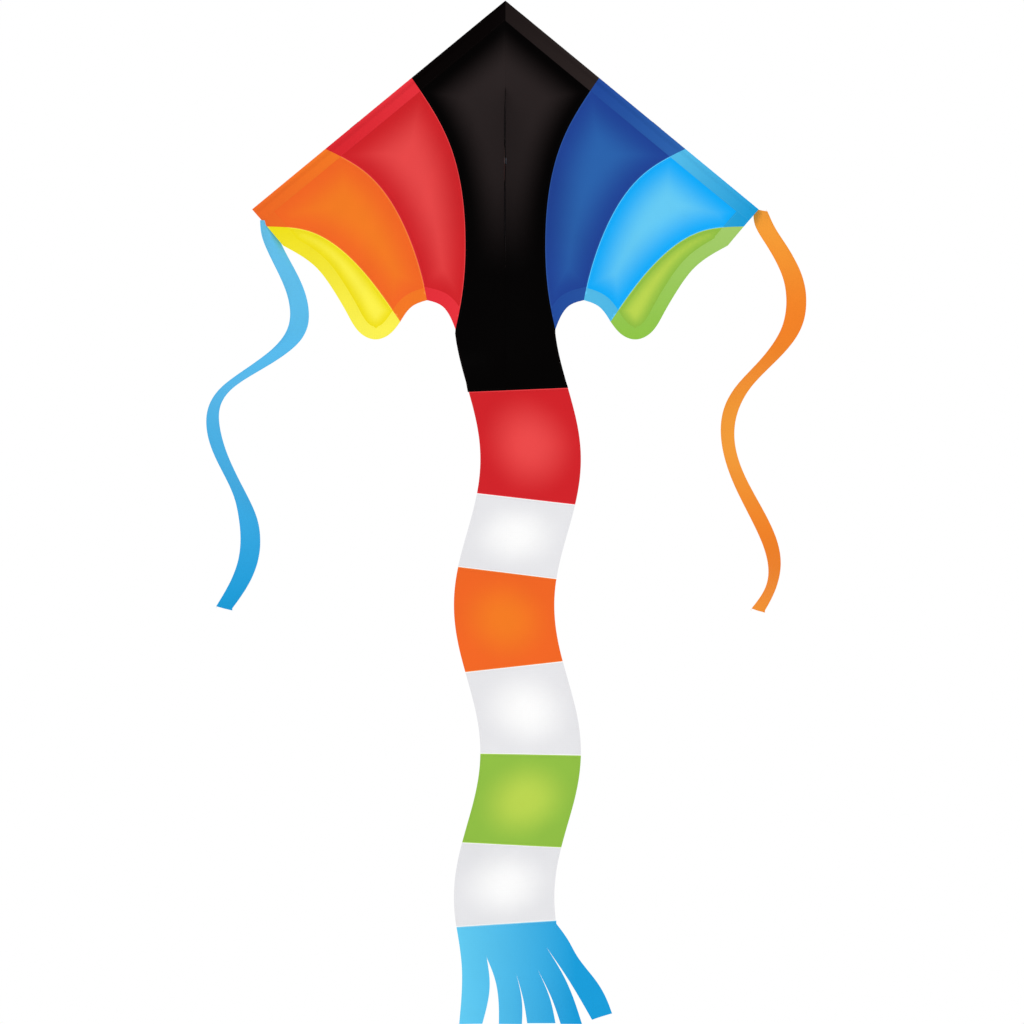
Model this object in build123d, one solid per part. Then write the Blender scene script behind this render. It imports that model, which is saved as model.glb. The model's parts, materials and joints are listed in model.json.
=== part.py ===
from build123d import *
import math
import os

# A delta kite with a banded tail, in millimetres.
# +Z is up, nose up, the belly of the kite faces -Y and the spars are on the +Y side.
# The origin is the middle of the tow eyelet, where the flying line is tied.
# Places on the kite are given as (across, drop): the distance from the centre line and
# the distance below the nose.

# driving sizes
HALF_SPAN = 585
TIP_DROP = 477            # the wing tips lie this far below the nose
TIP_BACK = 60             # and this far behind the spine, which gives the dihedral
BILLOW_CONE_ANGLE = 62    # half angle of the cone that a filled wing follows
CLOTH = 1.0               # thickness that stands for the sail cloth
HEM = 36                  # width of the leading edge sleeve
KEEL_DEPTH = 190          # from the spine to the tow eyelet
TOW_DROP = 380
CENTRE_STRIP = 15         # width of the tape along the spine
CENTRE_GAP = 0.5          # each wing starts this far from the tape

SPAR_RADIUS = 3.0
SPAR_FIT = 0.1            # room round a rod in its sleeve
SLEEVE_WALL = 1.1
SPAR_INSET = 5.0          # from the leading edge to the middle of its spar
SPAR_START = 60           # along the leading edge from the nose
SLEEVE_START = 42         # the hem lies flat before this, so that folded wings clear each other
SPAR_END = 738
CAP_LENGTH = 12
CAP_WALL = 0.9
CAP_END = 2.0             # thickness of a cap's closed end
SPINE_TOP = 14            # drop of the upper end of the spine rod
SPINE_BOTTOM = 748
SPINE_BACK = 5.0          # the spine rod lies behind the sail by this much
POCKET_LENGTH = 26

HOOK_ALONG = 452          # the spreader meets the leading edge here
HOOK_LENGTH = 26
HOOK_HEIGHT = 15
HOOK_WALL = 2.4
SPREADER_BEHIND = 14      # from the leading edge spar back to the spreader
HOOK_STANDS_OFF = 4.2     # the trough's body clears the sleeve's cloth by starting here
HOOK_CLEARANCE = 0.5
HOOK_INWARD = 4           # from the spar's centre to the middle of the trough's body
HOOK_MARGIN = 1.5         # the trough's body ends this far inside the leading edge
TROUGH_INWARD = 3.8       # from the spar's centre to the blind end of the trough

KEEL_TOP = 200
KEEL_BOTTOM = 620
KEEL_TIP_CUT = 30         # the keel cloth stops this far behind the eyelet
KEEL_FRONT_GAP = 1.5
EYELET_HOLE = 3.2         # radius
EYELET_BARREL = 4.4
EYELET_FLANGE = 7.5
EYELET_LENGTH = 5.0
PATCH_RADIUS = 15
PATCH_CLOTH = 1.6

TAIL_WIDTH = 231
TAIL_MIDDLE = 27.5        # the tail hangs this far to the right on average
TAIL_SWAY = 30.5
TAIL_SWAY_LENGTH = 672
TAIL_SWAY_PHASE = 1055    # drop at which the tail is furthest to the right
TAIL_WAVE = 14            # depth of the waves towards and away from the viewer
TAIL_WAVE_LENGTH = 560
TAIL_TOP = 756
TAIL_BOTTOM = 2356
SEAM_GAP = 1.0
FRINGE_HINGE = 2248

# the tail's seams: the band below each one, its drop on the tail's middle, its slope
TAIL_SEAMS = (
    ("tail_red", 895, -2.4),
    ("tail_white_upper", 1146, 6.6),
    ("tail_orange", 1316, 7.1),
    ("tail_white_middle", 1532, -6.3),
    ("tail_green", 1733, 1.1),
    ("tail_white_lower", 1942, 3.0),
    ("tail_blue", 2123, -3.7),
)
# the slits of the fringe: the top, and the left and right lip down to the hem
SLITS = (
    ((-43, 2200), ((-36, 2262), (-53, 2351)), ((-25, 2246), (-15, 2353))),
    ((25, 2237), ((38, 2300), (38, 2353)), ((42, 2300), (50, 2350))),
    ((75, 2229), ((102, 2292), (115, 2350)), ((105, 2290), (127, 2353))),
    ((93, 2175), ((133, 2240), (176, 2353)), ((137, 2238), (199, 2342))),
)
FRINGE_LEFT = ((-113, 2131), (-100, 2225), (-100, 2271), (-106, 2351))
FRINGE_RIGHT = ((144, 2160), (165, 2197), (208, 2252), (230, 2289), (245, 2328))

RIBBON_WIDTH = 36
RIBBON_BEHIND = 22        # behind the wing tip
RIBBON_GAP = 1.5
# each ribbon: the middle of the strip from the wing tip down, and its two bends
RIBBONS = {
    "left": (
        ((-571, 497), (-534, 562), (-484, 672), (-477, 709), (-498, 780), (-569, 837),
         (-641, 886), (-677, 971), (-654, 1054), (-610, 1146), (-590, 1236),
         (-607, 1323), (-652, 1399)),
        (564, 971),
    ),
    "right": (
        ((583, 488), (624, 555), (664, 631), (673, 693), (656, 762), (607, 826),
         (551, 886), (514, 985), (543, 1105), (592, 1201), (621, 1286), (609, 1362),
         (583, 1404)),
        (528, 990),
    ),
}

# the seams and the trailing edge of the right wing, as (across, drop)
SEAM_INNER = ((216, 176), (136, 309), (92, 543), (103, 697), (115, 755))
SEAM_OUTER = ((415, 338), (323, 392), (229, 527), (187, 658), (181, 687))
SEAM_CORNER = ((551, 516), (454, 527), (346, 601), (243, 736))
TIP_CORNER = (514, 560)
ARCH_INNER = ((181, 687), (147, 700), (126, 728), (115, 755))
ARCH_OUTER = ((243, 736), (214, 700), (181, 687))
LOBE = ((514, 560), (437, 611), (401, 658), (366, 717), (332, 765), (300, 777),
        (268, 765), (243, 736))

SLAB_FRONT = -60          # the wings lie between these two distances behind the spine
SLAB_BACK = 150

os.makedirs("parts", exist_ok=True)

NOSE = Vector(0, KEEL_DEPTH, TOW_DROP)
SPINE_LINE = Vector(0, 0, -1)
EDGE_LINE = Vector(HALF_SPAN, TIP_BACK, -TIP_DROP).normalized()
EDGE_LENGTH = Vector(HALF_SPAN, TIP_BACK, -TIP_DROP).length


def point(place, back=0.0):
    """A place on the kite, at a distance behind the spine."""
    return Vector(place[0], KEEL_DEPTH + back, TOW_DROP - place[1])


def flat(place):
    """A place on the kite in a sketch of the front view."""
    return (place[0], TOW_DROP - place[1])


def curve(places):
    return Spline([flat(p) for p in places])


def line(start, end):
    return Line(flat(start), flat(end))


def front_plane(back=0.0):
    return Plane(origin=(0, KEEL_DEPTH + back, 0), x_dir=(1, 0, 0), z_dir=(0, -1, 0))


def column(face, start=SLAB_FRONT, end=SLAB_BACK):
    """The space behind a front view outline, between two distances behind the spine."""
    return extrude(front_plane(start) * face, amount=-(end - start))


def rod(start, end, radius):
    """A round rod between two points."""
    way = end - start
    plane = Plane(origin=start, z_dir=way.normalized())
    return plane * Cylinder(radius, way.length, align=(Align.CENTER, Align.CENTER, Align.MIN))


def save(name, shape):
    shape.label = name
    export_step(shape, f"parts/{name}.step")


def billow_axis():
    """The axis of the cone that holds the spine and the leading edge, in front of the wing."""
    half = math.radians(SPINE_LINE.get_angle(EDGE_LINE)) / 2
    middle = (SPINE_LINE + EDGE_LINE).normalized()
    forward = SPINE_LINE.cross(EDGE_LINE).normalized()
    if forward.Y > 0:
        forward = forward * -1
    lean = math.acos(math.cos(math.radians(BILLOW_CONE_ANGLE)) / math.cos(half))
    return middle * math.cos(lean) + forward * math.sin(lean)


AXIS = billow_axis()
CONE_ANGLE = math.radians(BILLOW_CONE_ANGLE)
EDGE_NORMAL = (EDGE_LINE * math.cos(CONE_ANGLE) - AXIS) * (1 / math.sin(CONE_ANGLE))
EDGE_INWARD = EDGE_NORMAL.cross(EDGE_LINE).normalized()
if EDGE_INWARD.X > 0:
    EDGE_INWARD = EDGE_INWARD * -1


def cone(offset):
    """The solid cone of the billow, with its skin moved back by an offset."""
    height = 1500 * math.cos(CONE_ANGLE)
    apex = NOSE - AXIS * (offset / math.sin(CONE_ANGLE))
    base = Plane(origin=apex + AXIS * height, z_dir=AXIS * -1)
    width = height * math.tan(CONE_ANGLE)
    return base * Cone(width, 0, height, align=(Align.CENTER, Align.CENTER, Align.MIN))


def edge_point(along, inward=0.0, back=0.0):
    """A point of the right leading edge, by distance from the nose."""
    return NOSE + EDGE_LINE * along + EDGE_INWARD * inward + EDGE_NORMAL * back


def wing_outlines():
    """The front view outline of each sail panel of the right wing."""
    start = CENTRE_STRIP / 2 + CENTRE_GAP
    inner_top = SEAM_INNER[0]
    nose_corner = (start, start * TIP_DROP / HALF_SPAN)
    foot = (start, SEAM_INNER[-1][1])
    tip = (HALF_SPAN, TIP_DROP)
    inner, outer, corner = curve(SEAM_INNER), curve(SEAM_OUTER), curve(SEAM_CORNER)
    return {
        "black": make_face([
            line(nose_corner, inner_top), inner, line(SEAM_INNER[-1], foot), line(foot, nose_corner),
        ]),
        "inner": make_face([inner, line(inner_top, SEAM_OUTER[0]), outer, curve(ARCH_INNER)]),
        "outer": make_face([
            outer, line(SEAM_OUTER[0], tip), line(tip, SEAM_CORNER[0]), corner, curve(ARCH_OUTER),
        ]),
        "corner": make_face([corner, line(SEAM_CORNER[0], TIP_CORNER), curve(LOBE)]),
    }


def hem_outline():
    """The front view of the leading edge sleeve: a strip along the whole edge."""
    length = math.hypot(HALF_SPAN, TIP_DROP)
    inward = (-TIP_DROP / length * HEM, HALF_SPAN / length * HEM)
    outside = (TIP_DROP / length, -HALF_SPAN / length)
    near, far = (outside[0], outside[1]), (HALF_SPAN + outside[0], TIP_DROP + outside[1])
    corners = [
        near, far, (far[0] + inward[0], far[1] + inward[1]), (near[0] + inward[0], near[1] + inward[1]),
    ]
    return make_face([line(corners[i], corners[(i + 1) % 4]) for i in range(4)])


def hook_window():
    """The opening in the back of the sleeve that the spreader hook sits in."""
    plane = Plane(origin=edge_point(HOOK_ALONG, SPAR_INSET), x_dir=EDGE_LINE, z_dir=EDGE_NORMAL)
    box = Box(HOOK_LENGTH + 8, 3 * SPAR_INSET, 20, align=(Align.CENTER, Align.CENTER, Align.MIN))
    return plane * Pos(0, 0, 0.1) * box


def wing_panels():
    """Sail panels and sleeve segments of the right wing, by name."""
    cloth = cone(CLOTH / 2) - cone(-CLOTH / 2)
    hem = column(hem_outline())
    outer_radius = SPAR_RADIUS + SPAR_FIT + SLEEVE_WALL
    tube = rod(
        edge_point(SLEEVE_START, SPAR_INSET), edge_point(EDGE_LENGTH, SPAR_INSET), outer_radius
    )
    bore = rod(
        edge_point(SPAR_START - CAP_LENGTH, SPAR_INSET),
        edge_point(EDGE_LENGTH + HEM, SPAR_INSET),
        SPAR_RADIUS + SPAR_FIT + CAP_WALL,
    )
    pieces = {}
    for name, outline in wing_outlines().items():
        space = column(outline)
        panel = (cloth & space) - hem
        pieces["sail_" + name] = panel.solids().sort_by(lambda s: s.volume)[-1]
        if name != "corner":
            sleeve = ((cloth + tube) & hem & space) - bore - hook_window()
            pieces["sleeve_" + name] = sleeve.solids().sort_by(lambda s: s.volume)[-1]
    return pieces


def end_cap(end, way):
    """A cap over the last stretch of a rod; way points out of the rod."""
    start = end - way * (CAP_LENGTH - CAP_END)
    return rod(start, end + way * CAP_END, SPAR_RADIUS + CAP_WALL) - rod(start, end, SPAR_RADIUS)


def leading_spar():
    return rod(edge_point(SPAR_START, SPAR_INSET), edge_point(SPAR_END, SPAR_INSET), SPAR_RADIUS)


def leading_caps():
    top = end_cap(edge_point(SPAR_START, SPAR_INSET), EDGE_LINE * -1)
    bottom = end_cap(edge_point(SPAR_END, SPAR_INSET), EDGE_LINE)
    return Compound(children=[top, bottom])


def spreader_seat():
    """Where the right end of the spreader rests."""
    spar = edge_point(HOOK_ALONG, SPAR_INSET)
    return Vector(spar.X, spar.Y + SPREADER_BEHIND, spar.Z)


def spreader_hook():
    """A saddle on the back of the spar with a trough, open to the back, for the spreader."""
    seat = spreader_seat()
    start = edge_point(HOOK_ALONG - HOOK_LENGTH / 2, SPAR_INSET)
    end = edge_point(HOOK_ALONG + HOOK_LENGTH / 2, SPAR_INSET)
    saddle = rod(start, end, SPAR_RADIUS + HOOK_WALL)
    cap_radius = SPAR_RADIUS + CAP_WALL + HOOK_CLEARANCE
    block_front = seat.Y - SPREADER_BEHIND + HOOK_STANDS_OFF
    block_back = seat.Y + cap_radius
    block = Pos(seat.X - HOOK_INWARD, (block_front + block_back) / 2, seat.Z) * Box(
        HOOK_LENGTH, block_back - block_front, HOOK_HEIGHT
    )
    outside = Plane(origin=edge_point(HOOK_ALONG, HOOK_MARGIN), z_dir=(TIP_DROP, 0, HALF_SPAN))
    block -= outside * Box(100, 100, 50, align=(Align.CENTER, Align.CENTER, Align.MIN))
    front = Plane(origin=edge_point(HOOK_ALONG, SPAR_INSET), x_dir=EDGE_LINE, z_dir=EDGE_NORMAL * -1)
    below = front * Pos(0, 0, -0.2) * Box(200, 80, 80, align=(Align.CENTER, Align.CENTER, Align.MIN))
    spar_hole = rod(edge_point(0, SPAR_INSET), edge_point(EDGE_LENGTH, SPAR_INSET), SPAR_RADIUS + 0.05)
    blind_end = seat.X - TROUGH_INWARD
    trough_length = 2 * HOOK_LENGTH
    trough = Pos(blind_end, seat.Y - cap_radius, seat.Z) * Box(
        trough_length, trough_length, 2 * cap_radius, align=(Align.MAX, Align.MIN, Align.CENTER)
    )
    return (saddle + block) - below - spar_hole - trough


def spreader_end():
    """The right end of the spreader rod, inside its cap."""
    seat = spreader_seat()
    return Vector(seat.X - TROUGH_INWARD - HOOK_CLEARANCE - CAP_END, seat.Y, seat.Z)


def mirrored(shape):
    return mirror(shape, about=Plane.YZ)


def build_wings():
    """Both wings: the left one is the right one mirrored, with its own colours."""
    colours = {
        "left": {"black": "black_left", "inner": "red", "outer": "orange", "corner": "yellow"},
        "right": {"black": "black_right", "inner": "dark_blue", "outer": "light_blue", "corner": "green"},
    }
    panels = wing_panels()
    fittings = {
        "leading_spar": leading_spar(),
        "leading_spar_caps": leading_caps(),
        "spreader_hook": spreader_hook(),
    }
    for side, names in colours.items():
        for panel, shape in panels.items():
            kind, place = panel.split("_")
            shape = mirrored(shape) if side == "left" else shape
            save(("sail_" if kind == "sail" else "edge_sleeve_") + names[place], shape)
        for name, shape in fittings.items():
            shape = mirrored(shape) if side == "left" else shape
            save(f"{name}_{side}", shape)


def build_spreader():
    right = spreader_end()
    left = Vector(-right.X, right.Y, right.Z)
    save("spreader_rod", rod(left, right, SPAR_RADIUS))
    caps = [end_cap(right, Vector(1, 0, 0)), end_cap(left, Vector(-1, 0, 0))]
    save("spreader_caps", Compound(children=caps))


def build_spine():
    """The spine rod in its sleeve, with a pocket at each end."""
    top, bottom = point((0, SPINE_TOP), SPINE_BACK), point((0, SPINE_BOTTOM), SPINE_BACK)
    save("spine_rod", rod(top, bottom, SPAR_RADIUS))
    sleeve_top, sleeve_bottom = SPINE_TOP + POCKET_LENGTH, SPINE_BOTTOM - POCKET_LENGTH
    outer = SPAR_RADIUS + SPAR_FIT + SLEEVE_WALL
    tube = rod(point((0, sleeve_top), SPINE_BACK), point((0, sleeve_bottom), SPINE_BACK), outer)
    bore = rod(point((0, 0), SPINE_BACK), point((0, TAIL_TOP), SPINE_BACK), SPAR_RADIUS + SPAR_FIT)
    tape_length = sleeve_bottom - sleeve_top
    tape = Pos(point((0, (sleeve_top + sleeve_bottom) / 2))) * Box(CENTRE_STRIP, CLOTH, tape_length)
    web = Pos(point((0, (sleeve_top + sleeve_bottom) / 2), SPINE_BACK / 2)) * Box(
        2.4, SPINE_BACK, tape_length
    )
    save("spine_sleeve", (tape + tube + web) - bore)
    for name, start, stop, way in (
        ("spine_nose_pocket", sleeve_top, SPINE_TOP, -1),
        ("spine_tail_pocket", sleeve_bottom, SPINE_BOTTOM, 1),
    ):
        closed = stop + way * 3
        middle, length = (start + closed) / 2, abs(closed - start)
        shell = rod(point((0, start), SPINE_BACK), point((0, closed), SPINE_BACK), outer + 0.4)
        tab = Pos(point((0, middle))) * Box(CENTRE_STRIP, CLOTH, length)
        join = Pos(point((0, middle), SPINE_BACK / 2)) * Box(3, SPINE_BACK, length)
        inside = rod(point((0, start - way), SPINE_BACK), point((0, stop), SPINE_BACK), SPAR_RADIUS)
        save(name, (shell + tab + join) - inside)


def build_keel():
    """The keel fin, its tip patch and the tow eyelet, in the plane of the spine."""
    fin_back = KEEL_DEPTH - KEEL_FRONT_GAP
    slope_top = (TOW_DROP - KEEL_TOP) / KEEL_DEPTH
    slope_bottom = (KEEL_BOTTOM - TOW_DROP) / KEEL_DEPTH
    corners = [
        (fin_back, TOW_DROP - KEEL_TOP),
        (KEEL_TIP_CUT, KEEL_TIP_CUT * slope_top),
        (KEEL_TIP_CUT, -KEEL_TIP_CUT * slope_bottom),
        (fin_back, TOW_DROP - KEEL_BOTTOM),
    ]
    fin = make_face(Polyline(*corners, close=True))
    save("keel_fin", extrude(Plane.YZ * fin, amount=CLOTH / 2, both=True))
    tab_end = KEEL_TIP_CUT - 0.2
    tangent = math.sqrt(0.5) * PATCH_RADIUS
    tab = make_face([
        ThreePointArc((tangent, tangent), (-PATCH_RADIUS, 0), (tangent, -tangent)),
        Line((tangent, -tangent), (tab_end, -tab_end * slope_bottom)),
        Line((tab_end, -tab_end * slope_bottom), (tab_end, tab_end * slope_top)),
        Line((tab_end, tab_end * slope_top), (tangent, tangent)),
    ])
    patch = extrude(Plane.YZ * tab, amount=PATCH_CLOTH / 2, both=True)
    across = Vector(EYELET_LENGTH, 0, 0)
    patch = patch - rod(across * -1, across, EYELET_BARREL)
    save("keel_patch", patch)
    half = Vector(EYELET_LENGTH / 2, 0, 0)
    cloth_side = Vector(PATCH_CLOTH / 2, 0, 0)
    eyelet = rod(half * -1, half, EYELET_BARREL)
    eyelet = eyelet + rod(cloth_side, half, EYELET_FLANGE) + rod(half * -1, cloth_side * -1, EYELET_FLANGE)
    save("tow_eyelet", eyelet - rod(across * -1, across, EYELET_HOLE))


def tail_middle(drop):
    """How far to the right the middle of the tail hangs at a drop."""
    phase = 2 * math.pi * (drop - TAIL_SWAY_PHASE) / TAIL_SWAY_LENGTH
    return TAIL_MIDDLE + TAIL_SWAY * math.cos(phase)


def tail_wave(drop):
    """How far behind the spine the tail hangs at a drop."""
    return TAIL_WAVE * math.sin(2 * math.pi * (drop - TAIL_TOP) / TAIL_WAVE_LENGTH)


def tail_outline():
    """The whole tail from the front, with the four slits of its fringe."""
    drops = [TAIL_TOP + i * TAIL_SWAY_LENGTH / 8 for i in range(17)]
    left = [(tail_middle(d) - TAIL_WIDTH / 2, d) for d in drops] + list(FRINGE_LEFT)
    right = [(tail_middle(d) + TAIL_WIDTH / 2, d) for d in drops] + list(FRINGE_RIGHT)
    edges = [line(left[0], right[0]), curve(left), curve(right)]
    strip_start = left[-1]
    for top, left_lip, right_lip in SLITS:
        edges.append(line(strip_start, left_lip[-1]))
        edges.append(curve([top] + list(left_lip)))
        edges.append(curve([top] + list(right_lip)))
        strip_start = right_lip[-1]
    edges.append(line(strip_start, right[-1]))
    return make_face(edges)


def tail_curtain():
    """The waving sheet that the tail is cut from."""
    count = round((TAIL_BOTTOM + 10 - TAIL_TOP) / (TAIL_WAVE_LENGTH / 8)) + 1
    drops = [TAIL_TOP - 1 + i * TAIL_WAVE_LENGTH / 8 for i in range(count + 1)]
    faces = []
    for side in (-CLOTH / 2, CLOTH / 2):
        faces.append([(KEEL_DEPTH + tail_wave(d) + side, TOW_DROP - d) for d in drops])
    front, back = faces
    section = make_face([
        Spline(front), Spline(back), Line(front[0], back[0]), Line(front[-1], back[-1]),
    ])
    return extrude(Plane.YZ * section, amount=2 * TAIL_WIDTH, both=True)


def seam_cut(drop, slope):
    """A thin gap across the tail along one seam."""
    middle = point((tail_middle(drop), drop))
    return Pos(middle) * Rot(0, slope, 0) * Box(2 * TAIL_WIDTH, 200, SEAM_GAP)


def build_tail():
    tail = tail_curtain() & column(tail_outline())
    for _, drop, slope in TAIL_SEAMS:
        tail = tail - seam_cut(drop, slope)
    tail = tail - seam_cut(FRINGE_HINGE, 0)
    bands = tail.solids().sort_by(lambda s: -s.center().Z)
    names = ["tail_black"] + [seam[0] for seam in TAIL_SEAMS]
    for name, band in zip(names, bands):
        save(name, band)
    strips = bands[len(names):].sort_by(Axis.X)
    for number, strip in enumerate(strips, start=1):
        save(f"tail_fringe_{number}", strip)


def build_ribbons():
    """A ribbon behind each wing tip: the sewn end, and two lengths that swing."""
    back = TIP_BACK + RIBBON_BEHIND
    for side, (places, bends) in RIBBONS.items():
        strip = trace(curve(places), RIBBON_WIDTH)
        ribbon = column(strip, back - CLOTH / 2, back + CLOTH / 2)
        for bend in bends:
            ribbon = ribbon - Pos(point((0, bend), back)) * Box(2000, 20, RIBBON_GAP)
        lengths = ribbon.solids().sort_by(lambda s: -s.center().Z)
        for name, length in zip(("sewn_end", "upper", "lower"), lengths):
            save(f"ribbon_{side}_{name}", length)


build_wings()
build_spreader()
build_spine()
build_keel()
build_tail()
build_ribbons()
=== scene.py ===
"""A delta kite in ripstop cloth: sails, sleeves, keel, banded tail with a fringe, and two ribbons.

Lengths in the plan of the kite are in millimetres. A place on the plan is (across, drop):
the distance from the centre line and the distance below the nose. The mesh code turns
them into metres in the frame's axes, with the belly facing -Y and the nose up.
"""

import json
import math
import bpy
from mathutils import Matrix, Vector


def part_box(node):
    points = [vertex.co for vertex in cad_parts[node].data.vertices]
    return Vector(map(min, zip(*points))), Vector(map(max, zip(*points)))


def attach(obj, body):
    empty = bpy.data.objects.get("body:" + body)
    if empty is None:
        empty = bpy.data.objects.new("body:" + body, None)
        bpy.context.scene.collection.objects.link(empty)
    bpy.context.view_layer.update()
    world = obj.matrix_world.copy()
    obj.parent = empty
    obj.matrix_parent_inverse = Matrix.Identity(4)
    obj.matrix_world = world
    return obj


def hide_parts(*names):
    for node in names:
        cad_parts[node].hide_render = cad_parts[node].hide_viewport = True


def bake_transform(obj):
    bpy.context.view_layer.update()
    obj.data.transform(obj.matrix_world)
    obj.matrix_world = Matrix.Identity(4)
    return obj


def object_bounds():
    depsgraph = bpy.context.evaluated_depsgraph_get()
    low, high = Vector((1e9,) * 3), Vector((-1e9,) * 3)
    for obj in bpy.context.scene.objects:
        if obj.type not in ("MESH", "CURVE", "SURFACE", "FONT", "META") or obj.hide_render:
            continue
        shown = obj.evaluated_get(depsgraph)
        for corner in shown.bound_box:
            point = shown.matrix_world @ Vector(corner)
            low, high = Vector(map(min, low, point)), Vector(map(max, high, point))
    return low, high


bl_info = {
    "name": "Delta Kite",
    "version": (1, 0, 0),
    "blender": (4, 5, 0),
    "location": "3D View > Sidebar > Kite",
    "description": "Makes the cloth, stitching and finishes of a delta kite on its frame",
    "category": "Add Mesh",
}

import bpy
import numpy as np
from bpy.props import FloatProperty, FloatVectorProperty, PointerProperty
from mathutils import Vector
from mathutils.geometry import delaunay_2d_cdt

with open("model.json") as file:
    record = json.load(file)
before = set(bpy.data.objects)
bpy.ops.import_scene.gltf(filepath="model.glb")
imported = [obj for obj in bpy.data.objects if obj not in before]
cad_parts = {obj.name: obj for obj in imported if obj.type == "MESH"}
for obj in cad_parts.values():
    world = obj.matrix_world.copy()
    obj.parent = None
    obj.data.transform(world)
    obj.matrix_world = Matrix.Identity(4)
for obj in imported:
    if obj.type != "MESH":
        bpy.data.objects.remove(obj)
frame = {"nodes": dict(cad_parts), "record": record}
CAD_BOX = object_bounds()
JOINTS = {joint["name"]: joint for joint in frame["record"]["behaviour"]["joints"]}

# ---------------------------------------------------------------- the plan, in millimetres

MM = 0.001
SPINE_TOP = 14                    # the spine rod ends this far below the nose
SPINE = JOINTS["wing_left_fold"]["pos_m"][1] / MM
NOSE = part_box("spine_rod")[1].z / MM + SPINE_TOP
HALF_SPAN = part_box("edge_sleeve_light_blue")[1].x / MM
TIP_DROP = 477
TIP_BACK = 60
BILLOW_CONE_ANGLE = 62
HEM = 36                          # width of the leading edge sleeve and of the wing tip hem
EDGE_HEM = 29                     # width of the hem along the trailing edge
SLEEVE_FLAT = 9                   # the sail lies flat this far beside the spine
SLEEVE_LAP = 3                    # a sail runs this far into the sleeve
SPAR_INSET = 5                    # the middle of the spar lies this far inside the leading edge
SPAR_START = 60                   # the spar's two ends, measured along the leading edge
SPAR_END = 750
SPAR_BULGE = 3.7                  # the sleeve stands off the cloth's middle by this over the spar
HOOK_ALONG = 452                  # the middle of the opening for the hook
HOOK_WINDOW = 17                  # half the length of that opening
SLEEVE_STITCH = 33                # the sleeve is sewn down this far inside the leading edge

# a seam: its bright line, the edge of the folded cloth and the first row of points beyond it
SEAM_LINE = 1.6
SEAM_FOLD = 6.4
SEAM_ROWS = (SEAM_LINE, SEAM_FOLD, SEAM_FOLD + 1)
SEAM_STITCH = 4.6
SIDE_HEM = 5.5                    # the narrow hem down the side of the black centre
SIDE_STITCH = 3.6
HEM_STITCH = 3                    # from either edge of a wide hem to its stitches
BLACK_PAINTED_GLOW = (8, 85)              # how deep in the black centre its painted glow, a paler middle, starts and is full
BLACK_FADE = (360, 640)           # the drops over which that painted glow fades out

FOLD_NOSE = 0.5                   # height of the sail's folds near the nose
FOLD_GROWS = 2.6                  # and how much they gain towards the trailing edge,
FOLD_REACH = (420, 820)           # between these distances from the nose

# the seams and hems of the right wing; the left wing mirrors them
SEAM_INNER = ((216, 176), (136, 309), (92, 543), (103, 697), (115, 755))
SEAM_OUTER = ((415, 338), (323, 392), (229, 527), (187, 658), (181, 687))
SEAM_CORNER = ((551, 516), (454, 527), (346, 601), (243, 736))
TIP_CORNER = (514, 560)
ARCH_INNER = ((181, 687), (147, 700), (126, 728), (115, 755))
ARCH_OUTER = ((243, 736), (214, 700), (181, 687))
LOBE = ((514, 560), (437, 611), (401, 658), (366, 717), (332, 765), (300, 777),
        (268, 765), (243, 736))

TAIL_WIDTH = 231
TAIL_MIDDLE = 27.5                # the tail's middle lies this far right of the spine on average
TAIL_SWAY = 30.5                  # the sideways wave: height, length and the drop of one crest
TAIL_SWAY_LENGTH = 672
TAIL_SWAY_PHASE = 1055
TAIL_WAVE = 14                    # the wave in depth: height and length
TAIL_WAVE_LENGTH = 560
TAIL_TOP = 756                    # where the tail leaves the wings
TAIL_FLAT = (TAIL_TOP + 44, 893)  # the sail's billow gives way to the tail's wave between these
TAIL_FREE = (890, 980)            # the flutter grows between these drops
TAIL_FLUTTER = 2.6                # the flutter of the tail's sides: height and length
TAIL_FLUTTER_LENGTH = 210
TAIL_CROSS = 0.9                  # height of the folds across the tail
BAND_HEM = 4.6                    # the narrow hem down the sides of the bands
BAND_ROWS = (0, 1.8, BAND_HEM, BAND_HEM + 1)
BAND_STITCH = 3.4
SLIT_MARGIN = 39                  # the side stitches of the last band end this far above a slit
FRINGE_HINGE = 2248               # where the strips start
# each band: the drop of its upper seam on the tail's middle, the slope of that seam, its cloth
BANDS = {
    "tail_red": (895, -2.4, "red"),
    "tail_white_upper": (1146, 6.6, "white"),
    "tail_orange": (1316, 7.1, "orange"),
    "tail_white_middle": (1532, -6.3, "white"),
    "tail_green": (1733, 1.1, "green"),
    "tail_white_lower": (1942, 3.0, "white"),
    "tail_blue": (2123, -3.7, "tail_blue"),
}
# the slits of the fringe: the top, then the left and the right lip down to the end
SLITS = (
    ((-43, 2200), ((-36, 2262), (-53, 2351)), ((-25, 2246), (-15, 2353))),
    ((25, 2237), ((38, 2300), (38, 2353)), ((42, 2300), (50, 2350))),
    ((75, 2229), ((102, 2292), (115, 2350)), ((105, 2290), (127, 2353))),
    ((93, 2175), ((133, 2240), (176, 2353)), ((137, 2238), (199, 2342))),
)
FRINGE_LEFT = ((-113, 2131), (-100, 2225), (-100, 2271), (-106, 2351))
FRINGE_RIGHT = ((144, 2160), (165, 2197), (208, 2252), (230, 2289), (245, 2328))

RIBBON_WIDTH = 46
RIBBON_HEM = 2.4
RIBBON_STITCH = 1.6
RIBBON_SEWN = (500, 600)          # a ribbon leaves the wing between these drops
RIBBON_AHEAD = 9                  # its sewn end lies this far ahead of the rest
RIBBON_SWAY = 3                   # its wave in depth: height and length
RIBBON_SWAY_LENGTH = 410
RIBBON_FRILL = 1.2                # height of the frill along its sides
RIBBON_PALE = 480                 # the drop of a pale place on the right ribbon
RIBBON_TONE_LENGTH = 520          # and from that to the next
RIBBON_LOWER_CUT = 10             # the end of a ribbon is cut aslant by this
RIBBON_UPPER_CUT = 8
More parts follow.
